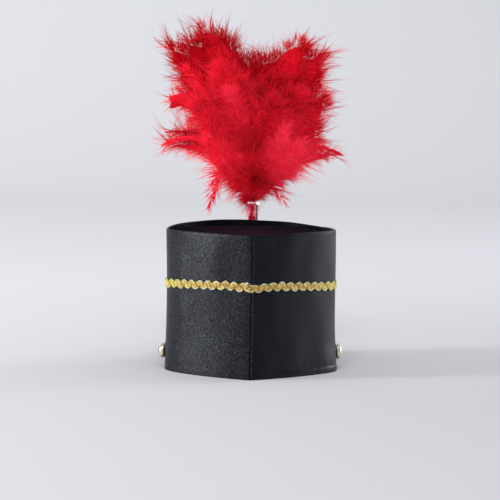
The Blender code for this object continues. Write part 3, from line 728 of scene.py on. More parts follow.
def make_braid():
    """Four gold cords side by side in a scroll, on a woven band sewn round the crown."""
    look = gold_thread()
    lobes = 2 * round(PLAN.perimeter / BRAID_PITCH)
    pitch = 2 * (PLAN.perimeter - BRAID_OPEN) / lobes
    random = np.random.default_rng(3)
    knots = np.linspace(0, PLAN.perimeter, BRAID_KNOTS)
    drift = random.normal(0, 0.00024, len(knots))
    taller = random.normal(1, 0.05, len(knots))
    slip = random.normal(0, 0.0003, len(knots))
    tubes = Tubes()
    turns = []
    ranks = []
    for cord in range(CORDS):
        offset = (cord - (CORDS - 1) / 2) * CORD_STEP
        along, up, rank = scroll(offset, lobes, pitch)
        up = up * BRAID_FLATTEN * np.interp(along, knots, taller)
        up = up + np.interp(along, knots, drift)
        lean = np.interp(along, knots, slip) * np.clip(up / 0.0045, -1, 1)
        lift = 0.0007 * smooth_step(along, PLAN.perimeter - 0.012, PLAN.perimeter)
        outset = GAP + CORD_RADIUS * 0.9 + lift + 0.00012 * np.sin(along * 900 + cord)
        path = wall(along + lean, braid_middle(along) + up, outset + 0.0004 * rank)
        facing = np.pad(PLAN.at(along)[1], ((0, 0), (0, 1)))
        swell = CORD_RADIUS * (1 + 0.07 * np.sin(along * 2100 + 2 * cord))
        size = tubes.add(path, swell, facing, *CORD_PLIES) / CORD_RADIUS
        # Painted shade: the troughs between the plies are stored darker.
        turns.append(np.clip((size - 0.78) / 0.25, 0, 1).ravel())
        ranks.append(np.repeat(rank, tubes.sides))
    share = np.linspace(0, 1, 5)
    for strand in range(FRAYS):
        start = PLAN.perimeter - random.uniform(0.0026, 0.0052)
        rise = random.uniform(0.0008, 0.003)
        reach = random.uniform(-0.0012, 0.0022)
        along = start + reach * share + 0.0003 * np.sin(share * 5 + strand)
        height = braid_middle(start) + 0.0036 + rise * share - 0.0006 * share ** 2
        path = wall(along, height, GAP + 0.0013 + random.uniform(0, 0.0009) * share)
        size = tubes.add(path, 0.0002 - 0.00008 * share, (0.3, -1, 0.1))
        turns.append(np.ones(size.size))
        ranks.append(np.full(size.size, 1.25))
    braid_piece(
        "braid_gimp", tubes.points(), tubes.faces, look, np.concatenate(turns), np.concatenate(ranks)
    )
    make_braid_base(look)


def make_braid_base(look):
    """The woven band that holds the cords, with a ribbed face."""
    column = np.arange(BRAID_BASE_COLUMNS)
    length = PLAN.perimeter * column / len(column)
    rows = (
        (-1, 0), (-1, 0.7), (-0.6, 1), (-0.2, 0.86), (0.2, 0.86), (0.6, 1),
        (1, 0.7), (1, 0),
    )
    points = []
    for side, thick in rows:
        rib = 0.0001 * np.sin(FULL_TURN * column / 4) * (thick > 0)
        outset = GAP * 0.6 + BRAID_BASE_THICK * thick + rib
        points.append(wall(length, braid_middle(length) + side * BRAID_BASE_HALF, outset))
    faces = grid_faces(len(rows), len(column), closed_rows=True)
    # The band is given a low turn, so it takes painted shade under the cords.
    braid_piece("braid_band", np.stack(points), faces, look, 0.1, 0)


# Buttons

BUTTON_SIDES = 72
BUTTON_GROWTH = 1.05       # how much larger the dressed button is than its solid


def make_button(name, node, side, look):
    """A domed button with a rolled rim and a narrow groove inside it."""
    low, high = corners_of(node)
    middle = (low + high) / 2
    radius = (high.z - low.z) / 2 * BUTTON_GROWTH
    tall = (high.x - low.x) * BUTTON_GROWTH
    profile = [(0.86, 0), (0.97, 0.02)]
    for angle in np.radians(180 * np.arange(1, 8) / 8 - 90):
        profile.append((0.945 + 0.055 * math.cos(angle), 0.14 + 0.13 * math.sin(angle)))
    profile.append((0.915, 0.225))
    for angle in np.radians(90 * np.arange(22) / 22):
        profile.append((0.9 * math.cos(angle), 0.23 + 0.77 * math.sin(angle)))
    profile.append((0.004, 1))
    out, rise = np.array(profile).T[:, :, None]
    turn = FULL_TURN * np.arange(BUTTON_SIDES) / BUTTON_SIDES
    base = (middle.y, middle.z, low.x if side > 0 else high.x)
    points = turned(base, radius * out, turn, side * tall * rise)[..., (2, 0, 1)]
    faces = [group[:, ::side] for group in tube_faces(len(profile), BUTTON_SIDES)]
    rise = rise * np.ones(BUTTON_SIDES)
    # Masks of the painted reflections: brown low on the dome near its rim, dark on its top, most on
    # the left button.
    warm = smooth_step((middle.z - points[..., 2]) / radius, 0.35, 0.8)
    piece(
        name, points, faces, look, "pale_brass", node,
        warm=0.85 * warm * smooth_step(-rise, -0.75, -0.35),
        cap=(0.85 if side < 0 else 0.25) * smooth_step(rise, 0.74, 0.9),
    )


# Plume

STEM_LOW, STEM_HIGH = corners_of("plume_stem")
STEM_CENTRE = (STEM_LOW + STEM_HIGH) / 2.0
STEM_RADIUS = (STEM_HIGH.x - STEM_LOW.x) / 2
STEM_RINGS = 240
STEM_SIDES = 48
WRAP_PITCH = 0.0048        # from turn to turn of the ribbon round the stem
CRINKLES = 9               # waves added up in its foil
TIE_BAND = ((0.0003, -0.0008), (0.0006, -0.0008), (0.0008, 0.0), (0.0006, 0.0008), (0.0003, 0.0008))
TIE_HEAD = (0.0046, 0.0034, 0.0040)          # across, deep and high
TIE_HEAD_PLACE = (0.0068, -0.0024, -0.0006)  # from the middle of the band
TIE_SQUARE = 0.55                            # 1 is an egg, nearer 0 is a squarer block
PLUME_LOW, PLUME_HIGH = corners_of("plume")
TALLEST_LOCK = 0.955       # how high the solid's locks reach in the plume
PLUME_FOOT = np.array([STEM_CENTRE.x, STEM_CENTRE.y, PLUME_LOW.z])
PLUME_SIZE = np.array([            # half width, half depth and height of the whole plume
    STEM_CENTRE.x - PLUME_LOW.x,
    (PLUME_HIGH.y - PLUME_LOW.y) / 2,
    (PLUME_HIGH.z - PLUME_LOW.z) / TALLEST_LOCK,
])
HEAD_SHARE = 0.46          # how high the head reaches under the feathers

# Feathers: where each tip lies, as shares of the plume's half width, height and half depth;
# where it leaves the head, as a share of the head's length; how far it rises before it
# leans out; how long its barbs are, in millimetres; how thickly they stand; how sleek it
# is, from loose down at 0 to a closed blade at 1; and its tone of painted light and shade,
# from 0 dark to 1 bright
Feather = namedtuple("Feather", "across up depth root rise barb thick sleek tone")
FEATHERS = [Feather(*row) for row in (
    (-0.54, 0.855, 0.05, 0.40, 0.60, 30, 1.25, 0.0, 0.58),
    (-0.42, 0.850, 0.15, 0.42, 0.64, 28, 1.00, 0.0, 0.55),
    (-0.76, 0.865, 0.10, 0.45, 0.56, 20, 0.30, 0.0, 0.50),
    (-0.38, 0.850, 0.25, 0.45, 0.68, 24, 1.00, 0.0, 0.48),
    (-0.95, 0.830, 0.15, 0.50, 0.50, 17, 0.40, 0.1, 0.55),
    (-0.84, 0.740, 0.30, 0.40, 0.52, 22, 0.75, 0.0, 0.50),
    (-0.72, 0.700, -0.10, 0.40, 0.52, 25, 1.00, 0.0, 0.58),
    (-0.70, 0.345, 0.05, 0.28, 0.80, 19, 0.90, 0.1, 0.52),
    (-0.62, 0.520, -0.50, 0.30, 0.55, 24, 1.00, 0.0, 0.62),
    (-0.36, 0.720, -0.85, 0.40, 0.60, 24, 1.10, 0.2, 0.52),
    (-0.22, 0.590, -0.95, 0.30, 0.60, 22, 1.00, 0.1, 0.66),
    (-0.13, 0.655, 0.15, 0.60, 0.70, 20, 0.90, 0.0, 0.30),
    (0.07, 0.665, 0.40, 0.60, 0.70, 20, 0.90, 0.0, 0.28),
    (0.26, 0.660, 0.10, 0.60, 0.65, 20, 0.95, 0.0, 0.25),
    (0.56, 0.820, 0.05, 0.45, 0.55, 24, 1.20, 0.0, 0.42),
    (0.76, 0.780, 0.30, 0.50, 0.48, 22, 0.80, 0.0, 0.38),
    (0.80, 0.560, -0.10, 0.40, 0.50, 26, 1.05, 0.0, 0.42),
    (0.72, 0.680, 0.50, 0.40, 0.50, 26, 0.90, 0.0, 0.36),
    (0.70, 0.400, 0.15, 0.25, 0.50, 26, 1.00, 0.0, 0.50),
    (0.72, 0.290, -0.10, 0.20, 0.80, 18, 0.80, 0.1, 0.55),
    (0.48, 0.290, -0.65, 0.10, 0.45, 23, 1.05, 0.1, 0.82),
    (0.36, 0.400, -0.85, 0.12, 0.50, 23, 1.05, 0.1, 0.85),
    (0.24, 0.540, -1.00, 0.25, 0.55, 23, 0.90, 0.0, 0.50),
    (0.52, 0.580, -0.60, 0.35, 0.55, 25, 1.00, 0.0, 0.45),
    (-0.48, 0.330, -0.45, 0.10, 0.45, 24, 1.00, 0.0, 0.66),
    (-0.28, 0.170, -0.20, 0.07, 0.45, 18, 0.70, 0.0, 0.55),
    (0.30, 0.160, 0.20, 0.07, 0.45, 16, 0.70, 0.0, 0.50),
    (-0.30, 0.660, 0.95, 0.40, 0.55, 25, 0.90, 0.0, 0.50),
    (0.30, 0.600, 1.00, 0.35, 0.55, 25, 0.90, 0.0, 0.50),
    (-0.52, 0.440, 0.85, 0.20, 0.50, 25, 0.90, 0.0, 0.50),
    (0.50, 0.370, 0.80, 0.15, 0.50, 24, 0.90, 0.0, 0.50),
    (0.00, 0.400, 0.90, 0.15, 0.60, 24, 0.90, 0.0, 0.50),
)]

# Loose sprays and the blade: four places along each, as shares of the half width and the
# height; its depth; and the rest as for a feather
Spray = namedtuple("Spray", "places depth barb thick sleek tone")
SPRAYS = [Spray(*row) for row in (
    ((-0.30, 0.33, -0.60, 0.372, -0.78, 0.374, -0.957, 0.366), -0.20, 5, 0.8, 0.92, 0.00),
    ((-0.25, 0.30, -0.50, 0.345, -0.78, 0.355, -0.985, 0.303), -0.35, 8, 0.9, 0.84, 0.46),
    ((-0.10, 0.12, -0.32, 0.205, -0.42, 0.140, -0.475, -0.020), -0.45, 19, 0.42, 0.70, 0.52),
    ((-0.10, 0.11, -0.28, 0.175, -0.36, 0.130, -0.430, 0.020), -0.30, 18, 0.30, 0.62, 0.56),
    ((0.20, 0.30, 0.50, 0.325, 0.76, 0.305, 0.980, 0.257), -0.25, 8, 0.9, 0.84, 0.46),
    ((0.20, 0.20, 0.45, 0.215, 0.60, 0.245, 0.790, 0.250), -0.40, 9, 0.9, 0.80, 0.52),
    ((0.08, 0.09, 0.20, 0.100, 0.28, 0.060, 0.360, 0.000), -0.20, 15, 0.25, 0.66, 0.50),
)]
SPRAY_DEPTHS = (0.0, 0.3, 0.8, 1.0)    # how much of its depth a spray has at each place
BLADE = Spray((-0.36, 0.49, -0.56, 0.55, -0.76, 0.555, -0.945, 0.522), -0.45, 7.2, 1, 1, 0.34)
BLADE_ENDS = (0.97, 1.0, 0.93, 0.955, 0.93)   # how far the blade reaches, from edge to edge
BLADE_ROWS = 40
BLADE_COLUMNS = 17

BARB_SPACING = 0.00033     # between the barbs on one side of a full feather
BARB_WIDTH = 0.0004
BARB_PLACES = np.array([0, 0.36, 0.7, 1])
BARB_TAPER = np.array([1, 0.82, 0.5])    # width at each place but the last, a point
PIECE_BARBS = 39000        # barbs in one mesh
TUFTS = 45                 # small sprays of down along the feathers
CLUMPS = 3400              # clumps of down over the mass
CLUMP_BARBS = 17
CORE_SHRINK = 0.002       # how far the mass lies under the solid's surface
CORE_SCALE = np.array([0.93, 0.95, 0.95])   # how far it draws in towards the tie
WISPS = 3000               # long loose barbs round the mass, each a lock of a few
WISP_BARBS = 3
WISP_PLACES = (-0.75, -0.35, -0.12, 0.10, 0.40, 0.80)    # shares of the half width
WISP_REACHES = (1.10, 1.10, 0.60, 0.40, 0.45, 0.75)      # how long upright ones are there
SKIRT = 2000               # fine barbs round the tie
SKIRT_HANGS = 0.15         # the share of them that hang down by the stem
BARE_FOOT = 0.007          # no clumps or wisps start lower on the plume than this
SOFTNESS = 0.78            # how far a barb shades as the mass does, not as itself
LEAVE_ROOM = np.array([0.1095, 0.1395, 0.3765])   # no barb reaches past this X, Y or height
HANG_ROOM = 0.03          # nor further than this below the plume's foot
TOWARDS_VIEWER = np.array([0, -1, 0])

# Painted light and shade over the mass: a place in shares of the half width and height, a
# reach in metres and how much tone it adds
PAINTED_PATCHES = (
    (-0.26, 0.54, 0.032, 0.12),
    (-0.55, 0.82, 0.036, -0.16),
    (-0.34, 0.22, 0.030, 0.32),
    (0.40, 0.22, 0.031, 0.90),
    (0.60, 0.70, 0.036, 0.16),
    (0.12, 0.62, 0.030, -0.16),
    (0.32, 0.56, 0.024, -0.20),
    (0.04, 0.12, 0.012, -0.70),
    (0.03, 0.30, 0.020, -0.58),
)


def painted_light_and_shade(spots):
    """Painted light and shade that the patches add at places in the plume."""
    total = np.zeros(len(spots))
    for across, up, reach, adds in PAINTED_PATCHES:
        middle = PLUME_FOOT + PLUME_SIZE * (across, 0, up)
        away = (spots[:, 0] - middle[0]) ** 2 + (spots[:, 2] - middle[2]) ** 2
        total = total + adds * np.exp(-away / reach ** 2)
    return total


def cubic(points, share):
    """Points on a bent line through four controls, and its directions."""
    one, two, three, four = points
    share = np.asarray(share, dtype=float)[:, None]
    rest = 1 - share
    spot = (
        one * rest ** 3 + 3 * two * rest ** 2 * share
        + 3 * three * rest * share ** 2 + four * share ** 3
    )
    ahead = (
        (two - one) * rest ** 2 + 2 * (three - two) * rest * share
        + (four - three) * share ** 2
    )
    return spot, unit(ahead)


def feather_line(row, random):
    """A feather's line: out of the tie, up the head, over and out to its tip."""
    turn = random.uniform(0, FULL_TURN)
    start = STEM_RADIUS * 0.55 * np.array([math.cos(turn), math.sin(turn), 0])
    base = PLUME_FOOT + (0, 0, 0.0003)
    root_height = PLUME_SIZE[2] * HEAD_SHARE * row.root
    tip = PLUME_SIZE * (row.across, row.depth, row.up)
    bend = tip * 0.42
    bend[2] = root_height + (tip[2] - root_height) * row.rise
    first = tip * 0.06
    first[2] = root_height * 0.75
    return base + start, base + start * 0.6 + first, base + bend, base + tip


def spray_line(row):
    """A loose spray's line, from the four places in its row."""
    return tuple(
        PLUME_FOOT + PLUME_SIZE * (across, row.depth * depth, up)
        for across, depth, up in zip(row.places[::2], SPRAY_DEPTHS, row.places[1::2])
    )


def barb_shapes(random, spot, way, curl, reach, twist, width):
    """Points along barbs, kept inside the room they have, and their ribbons' sides."""
    place = BARB_PLACES[None, :, None]
    points = reach[:, None, None] * (way[:, None, :] * place + curl[:, None, :] * place ** 2)
    points = points + random.normal(0, 0.02, points.shape) * reach[:, None, None] * place
    low = np.array([-LEAVE_ROOM[0], -LEAVE_ROOM[1], PLUME_LOW.z - HANG_ROOM])
    over = np.maximum(points.max(axis=1) / np.maximum(LEAVE_ROOM - spot, 1e-4),
                      points.min(axis=1) / np.minimum(low - spot, -1e-4))
    shrink = 1 / np.maximum(1, over.max(axis=1))
    points = spot[:, None, :] + points * shrink[:, None, None]
    return points, unit(np.cross(way, twist)), width


def barbs(random, line, facing, row, low=0.1):
    """Barbs along both sides of a feather: points, ribbon sides, widths and tones."""
    soft = 1 - row.sleek
    length = np.linalg.norm(line[3] - line[0]) * 1.08
    count = int(length * (1 - low) / BARB_SPACING * row.thick)
    share = np.concatenate([random.uniform(low, 1, count) for _ in (0, 1)])
    extra = int(count * 0.08)
    share = np.concatenate([share, random.uniform(0.93, 1, 2 * extra)])
    side = np.concatenate([
        np.full(count, -1), np.full(count, 1), random.choice([-1, 1], 2 * extra)
    ])
    total = len(share)
    spot, ahead = cubic(line, share)
    across = unit(np.cross(ahead, facing))
    normal = unit(np.cross(across, ahead))
    near_tip = smooth_step(share, 0.84, 1)
    opening = math.radians(66) * (1 - 0.78 * row.sleek)
    angle = opening * (1 - 0.4 * near_tip) * random.uniform(0.7, 1.25, total)
    angle = angle * (1 - near_tip * random.uniform(0, 0.9, total))
    lift = random.normal(0, 0.45 * (1 - 0.75 * row.sleek), total)
    way = unit(
        ahead * np.cos(angle)[:, None]
        + across * (side * np.sin(angle))[:, None]
        + normal * (lift * np.sin(angle))[:, None]
    )
    swell = np.interp(share, (0, 0.3, 0.6, 0.9, 1), (0.45, 0.9, 1, 0.85, 0.6))
    reach = row.barb * 0.001 * swell * random.uniform(0.6, 1.05, total)
    stray = random.random(total) < 0.06 * soft
    reach = np.where(stray, reach * random.uniform(1.1, 1.5, total), reach)
    curl = (
        ahead * (0.25 * soft * random.uniform(0, 1.4, total))[:, None]
        + normal * (0.3 * soft * random.normal(0, 1, total))[:, None]
        + across * (0.16 * soft * random.normal(0, 1, total))[:, None]
        + (0, 0, -0.1)
    )
    twist = normal + random.normal(0, 0.55, normal.shape)
    width = BARB_WIDTH * (1 + 1.2 * row.sleek) * random.uniform(0.7, 1.25, total)
    shape = barb_shapes(random, spot, way, curl, reach, twist, width)
    # Tones of painted light and shade: the feather's own and the patches'.
    tones = row.tone + painted_light_and_shade(spot) + random.normal(0, 0.07, total)
    return (*shape, np.clip(tones, 0, 1))


def plume_piece(name, points, faces, look, shade, along):
    """A piece of the plume, with the tones of painted light and shade that its look reads."""
    return piece(name, points, faces, look, "plume_red", "plume", shade=shade, along=along)


def make_core(look):
    """The mass itself: the solid's form, slightly shrunk, under the down."""
    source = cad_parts["plume"].data
    spots = np.zeros(len(source.vertices) * 3)
    source.vertices.foreach_get("co", spots)
    spots = spots.reshape(-1, 3)
    _, first, joined = np.unique(
        np.round(spots * 1e6).astype(np.int64), axis=0, return_index=True, return_inverse=True
    )
    spots = spots[first]
    source.calc_loop_triangles()
    corners = np.zeros(len(source.loop_triangles) * 3, dtype=np.int32)
    source.loop_triangles.foreach_get("vertices", corners)
    faces = joined.ravel()[corners].reshape(-1, 3)
    faces = faces[(faces != np.roll(faces, 1, axis=1)).all(axis=1)]
    one, two, three = spots[faces].transpose(1, 0, 2)
    flat = np.cross(two - one, three - one)
    normals = np.zeros_like(spots)
    for corner in range(3):
        np.add.at(normals, faces[:, corner], flat)
    normals = unit(normals)
    drawn = PLUME_FOOT + (spots - normals * CORE_SHRINK - PLUME_FOOT) * CORE_SCALE
    # The mass's tone of painted light and shade.
    plume_piece("plume_mass", drawn, faces, look, np.clip(0.34 + painted_light_and_shade(spots), 0, 1), 0)
    return spots, faces, normals


def growth(random, form, count, edge):
    """Random places on the mass with its normals there; edge keeps them to its outline."""
    spots, faces, normals = form
    corners = spots[faces]
    flat = np.cross(corners[:, 1] - corners[:, 0], corners[:, 2] - corners[:, 0])
    area = np.linalg.norm(flat, axis=1) * (1 - edge * np.abs(unit(flat)[:, 1]))
    area = area * (corners[:, :, 2].mean(axis=1) > PLUME_LOW.z + BARE_FOOT)
    chosen = random.choice(len(faces), count, p=area / area.sum())
    parts = random.dirichlet((1, 1, 1), count)
    spot = np.einsum("ij,ijk->ik", parts, corners[chosen])
    return spot, unit(np.einsum("ij,ijk->ik", parts, normals[faces[chosen]]))


def away_from_stem(spot, share):
    """Directions from the stem's line, from a share of each spot's height on it."""
    axis = np.stack([
        np.full(len(spot), STEM_CENTRE.x), np.full(len(spot), STEM_CENTRE.y),
        PLUME_LOW.z + share * (spot[:, 2] - PLUME_LOW.z),
    ], axis=1)
    return unit(spot - axis)


def down(random, form):
    """Clumps of barbs that grow out of the mass, fanning away from the stem."""
    centre, normal = growth(random, form, CLUMPS, 0)
    fan = away_from_stem(centre, 0.4)
    way = unit(0.55 * fan + 0.8 * normal + random.normal(0, 0.26, fan.shape))
    long = 0.001 * random.gamma(5, 2.7, CLUMPS)
    # Tone of painted light and shade from the patches.
    tone = 0.5 + painted_light_and_shade(centre) + random.normal(0, 0.03, CLUMPS)
    many = np.repeat(np.arange(CLUMPS), CLUMP_BARBS)
    total = len(many)
    spread = random.normal(0, 0.0022, (total, 3))
    spot = centre[many] + spread - normal[many] * 0.0022
    ahead = unit(way[many] + random.normal(0, 0.2, (total, 3)) - spread * 60)
    curl = 0.22 * random.normal(0, 1, (total, 3)) + (0, 0, -0.12)
    reach = np.clip(long[many], 0.005, 0.027) * random.uniform(0.45, 1.15, total)
    twist = random.normal(0, 1, (total, 3))
    width = BARB_WIDTH * random.uniform(0.6, 1.2, total)
    shape = barb_shapes(random, spot, ahead, curl, reach, twist, width)
    tones = np.clip(tone[many] + random.normal(0, 0.05, total), 0, 1)
    return (*shape, tones)


def wisps(random, form):
    """Long thin locks of barbs that stand out round the mass."""
    spot, normal = growth(random, form, WISPS, 0.93)
    fan = away_from_stem(spot, 0.45)
    way = unit(0.75 * fan + 0.6 * normal + random.normal(0, 0.2, fan.shape))
    curl = 0.24 * random.normal(0, 1, fan.shape) + (0, 0, -0.05)
    reach = 0.001 * np.clip(random.gamma(9, 3.1, WISPS), 13, 38)
    across = (spot[:, 0] - STEM_CENTRE.x) / PLUME_SIZE[0]
    upper = smooth_step(way[:, 2], 0.3, 0.9)
    reach = reach * (1 + (np.interp(across, WISP_PLACES, WISP_REACHES) - 1) * upper)
    many = np.repeat(np.arange(WISPS), WISP_BARBS)
    total = len(many)
    way = unit(way[many] + random.normal(0, 0.035, (total, 3)))
    curl = curl[many] + random.normal(0, 0.06, (total, 3))
    reach = reach[many] * random.uniform(0.75, 1, total)
    twist = TOWARDS_VIEWER + random.normal(0, 0.5, (total, 3))
    width = BARB_WIDTH * random.uniform(1, 1.6, total)
    start = spot[many] - normal[many] * 0.004 + random.normal(0, 0.00035, (total, 3))
    shape = barb_shapes(random, start, way, curl, reach, twist, width)
    # Tones of painted light and shade from the patches.
    tones = 0.28 + painted_light_and_shade(spot[many]) + random.normal(0, 0.08, total)
    return (*shape, np.clip(tones, 0, 1))


def skirt(random):
    """Fine barbs round the tie: most fill in under the plume, some hang by the stem."""
    turn = random.uniform(-0.12, 1.12, SKIRT) * np.pi
    ring = np.stack([np.cos(turn), np.sin(turn), np.zeros(SKIRT)], axis=1)
    hangs = random.random(SKIRT) < SKIRT_HANGS
    slope = np.where(hangs, random.uniform(-2.4, -0.8, SKIRT), random.uniform(-0.1, 0.75, SKIRT))
    spot = PLUME_FOOT + ring * 0.002
    spot[:, 2] += random.uniform(0.001, 0.009, SKIRT) - 0.004 * smooth_step(-ring[:, 0], 0, 0.6)
    way = unit(ring + slope[:, None] * (0, 0, 1))
    curl = 0.22 * random.normal(0, 1, (SKIRT, 3)) + (0, 0, -0.38)
    reach = random.uniform(0.007, 0.019, SKIRT)
    width = BARB_WIDTH * random.uniform(0.5, 1, SKIRT) * np.where(hangs, 0.6, 1)
    twist = TOWARDS_VIEWER + random.normal(0, 0.5, (SKIRT, 3))
    shape = barb_shapes(random, spot, way, curl, reach, twist, width)
    return (*shape, random.uniform(0.2, 0.5, SKIRT))


def make_blade(look):
    """One closed, smooth feather end on the left, cut blunt and split."""
    random = np.random.default_rng(41)
    side = np.linspace(-1, 1, BLADE_COLUMNS)
    end = np.interp(side, (-1, -0.6, 0, 0.6, 1), BLADE_ENDS)
    share = np.linspace(0, 1, BLADE_ROWS)[:, None] * end[None, :]
    spot, ahead = cubic(spray_line(BLADE), share.ravel())
    across = unit(np.cross(ahead, TOWARDS_VIEWER))
    half = BLADE.barb * 0.001 * np.interp(share, (0, 0.4, 1), (0.55, 1, 0.92))
    ragged = 1 + 0.03 * random.normal(0, 1, share.shape) * (np.abs(side) > 0.9)
    spot = (spot + across * (half * ragged * side).reshape(-1, 1)).reshape(*share.shape, 3)
    spot[..., 1] -= 0.0022 * (1 - side ** 2)
    faces = grid_faces(BLADE_ROWS, BLADE_COLUMNS, closed_columns=False)
    tones = BLADE.tone + 0.05 * np.sin(side * 9)[None, :] + 0.06 * share
    plume_piece("plume_blade", spot, faces, look, tones, 0)


def soft_normals(spots):
    """Normals of the plume's whole rounding, so that the down shades as one soft mass."""
    middle = PLUME_FOOT + PLUME_SIZE * (0, 0, 0.1)
    size = PLUME_SIZE * (1, 1, 0.75)
    return unit((spots - middle) / size ** 2)


def make_barbs(groups, look):
    """Meshes of thin ribbons, one for each run of barbs: three pairs of points and a tip."""
    random = np.random.default_rng(77)
    lines, sides, widths, tones = (np.concatenate(parts) for parts in zip(*groups))
    along = np.append(np.repeat(BARB_PLACES[:3], 2), 1)
    for number, start in enumerate(range(0, len(lines), PIECE_BARBS), 1):
        run = slice(start, start + PIECE_BARBS)
        line = lines[run]
        own = unit(np.cross(sides[run], line[:, 3] - line[:, 0]))
        soft = soft_normals(line)
        turned = np.sign(np.einsum("ij,ij->i", own, soft[:, 1]))[:, None]
        own = own * turned + random.normal(0, 0.25, own.shape)
        normals = unit(SOFTNESS * soft + (1 - SOFTNESS) * own[:, None, :])
        normals = np.concatenate([np.repeat(normals[:, :3], 2, axis=1), normals[:, 3:]], axis=1)
        half = (sides[run] * turned)[:, None, :] * (widths[run][:, None] * BARB_TAPER)[..., None] / 2
        pairs = np.stack([line[:, :3] - half, line[:, :3] + half], axis=2)
        spots = np.concatenate([pairs.reshape(len(line), 6, 3), line[:, 3:4]], axis=1)
        first = np.arange(len(line))[:, None] * 7
        faces = [
            np.concatenate([first + [[0, 1, 3, 2]], first + [[2, 3, 5, 4]]]), first + [[4, 5, 6]]
        ]
        made = plume_piece(
            f"plume_barbs_{number}", spots, faces, look,
            np.repeat(tones[run], 7), np.tile(along, len(line)),
        )
        made.data.normals_split_custom_set_from_vertices(normals.reshape(-1, 3))


def make_plume():
    """Feathers with loose barbs over a soft mass, and tufts of down between them."""
    random = np.random.default_rng(2026)
    look = feather_red()
    form = make_core(look)
    groups = [down(random, form), wisps(np.random.default_rng(505), form), skirt(random)]
    quills = Tubes()
    share = np.linspace(0, 0.985, 26)
    for row in FEATHERS:
        line = feather_line(row, random)
        facing = unit(np.array([
            random.normal(0, 0.25) + 0.35 * row.across,
            -1 if row.depth < 0.6 else 1,
            random.normal(0.15, 0.2),
        ]))
        groups.append(barbs(random, line, facing, row))
        quills.add(cubic(line, share)[0], 0.0008 * (1 - share) + 0.00012, facing)
    for row in SPRAYS:
        facing = unit(np.array([random.normal(0, 0.1), -1, random.normal(0, 0.1)]))
        groups.append(barbs(random, spray_line(row), facing, row, 0))
    for _ in range(TUFTS):
        row = FEATHERS[random.integers(len(FEATHERS))]
        line = feather_line(row, random)
        spots, ahead = cubic(line, [random.uniform(0.25, 0.92)])
        spot = spots[0]
        way = unit(ahead[0] + random.normal(0, 0.55, 3) * (1, 0.9, 0.6))
        long = random.uniform(0.02, 0.04)
        spray = spot, spot + ahead[0] * long * 0.35, spot + way * long * 0.65, spot + way * long
        facing = unit(np.array([random.normal(0, 0.5), -1, random.normal(0, 0.4)]))
        tone = np.clip(row.tone + random.normal(0, 0.12), 0, 1)
        tuft = row._replace(barb=random.uniform(10, 17), thick=1, sleek=0, tone=tone)
        groups.append(barbs(random, spray, facing, tuft, 0))
    make_barbs(groups, look)
    make_blade(look)
    plume_piece("plume_quills", quills.points(), quills.faces, look, 0.35, 0)


def make_tie():
    """The tie: a narrow band round the stem and a block with rounded corners on its right."""
    low, high = corners_of("plume_tie")
    look = plain_tie()
    middle = np.array([STEM_CENTRE.x, STEM_CENTRE.y, (low.z + high.z) / 2])
    turn = np.linspace(0, FULL_TURN, 49)[:-1]
    out, up = np.array(TIE_BAND).T[:, :, None]
    band = turned(middle, STEM_RADIUS + out, turn, up)
    faces = grid_faces(len(out), len(turn), closed_rows=True)
    piece("tie_band", band, faces, look, "white_tie", "plume_tie", knob=0)
    across = np.linspace(0, np.pi, 17)[:, None]
    ball = turned(0, np.sin(across), turn, np.cos(across))
    block = np.sign(ball) * np.abs(ball) ** TIE_SQUARE * np.array(TIE_HEAD) / 2
    head = middle + TIE_HEAD_PLACE + block
    piece("tie_head", head, grid_faces(*ball.shape[:2]), look, "white_tie", "plume_tie", knob=1)


def make_stem():
    """The stem: a bundle wrapped in a shiny ribbon that leaves a crinkled spiral."""
    height = np.linspace(STEM_LOW.z, STEM_HIGH.z, STEM_RINGS)[:, None]
    turn = FULL_TURN * np.arange(STEM_SIDES) / STEM_SIDES
    random = np.random.default_rng(9)
    wrap = np.mod(turn / FULL_TURN + height / WRAP_PITCH, 1)
    radius = STEM_RADIUS * 0.95 + 0.00035 * wrap - 0.0004 * bell(wrap, 0.03, 0.05)
    for _ in range(CRINKLES):
        ways = random.integers(2, 9)
        rate = random.uniform(300, 1500)
        phase = random.uniform(0, FULL_TURN)
        radius = radius + 0.00009 * np.sin(ways * turn + rate * height + phase)
    radius = radius + 0.00022 * np.cos(5 * turn)
    points = turned((STEM_CENTRE.x, STEM_CENTRE.y, 0), radius, turn, height)
    faces = tube_faces(STEM_RINGS, STEM_SIDES)
    piece("stem_wrap", points, faces, foil_red(), "stem_foil", "plume_stem")


# Light, floor and camera

PHOTO_SIZE = 500
CAMERA_PLACE = (-0.0087, -2.6, 0.357)
CAMERA_PITCH = 5.2
CAMERA_YAW = 0.17
CAMERA_ROLL = 0.44
FOCAL_PIXELS = 2490
SENSOR = 36
FLOOR_HALF = 9           # half the floor's width, and how far it runs to the front
BACKDROP_START = 2.4       # where the floor begins to bend up
BACKDROP_BEND = 2.2        # the bend's radius
BACKDROP_TOP = 8
HAT_MIDDLE = (0.0, 0.0, 0.15)
LIGHTS = (                 # name, place, aim, size, power and colour
    ("key", (-2.75, -0.65, 0.75), HAT_MIDDLE, (0.4, 1.4), 60.0, (1.0, 1.0, 1.0)),
    ("fill", (2.5, 1.0, 0.7), HAT_MIDDLE, (1.4, 1.6), 38.0, (0.91, 0.91, 1.0)),
    ("top", (-0.1, -1.9, 2.4), (0.0, 0.05, 0.28), (1.2, 1.0), 26.0, (1.0, 1.0, 1.0)),
)


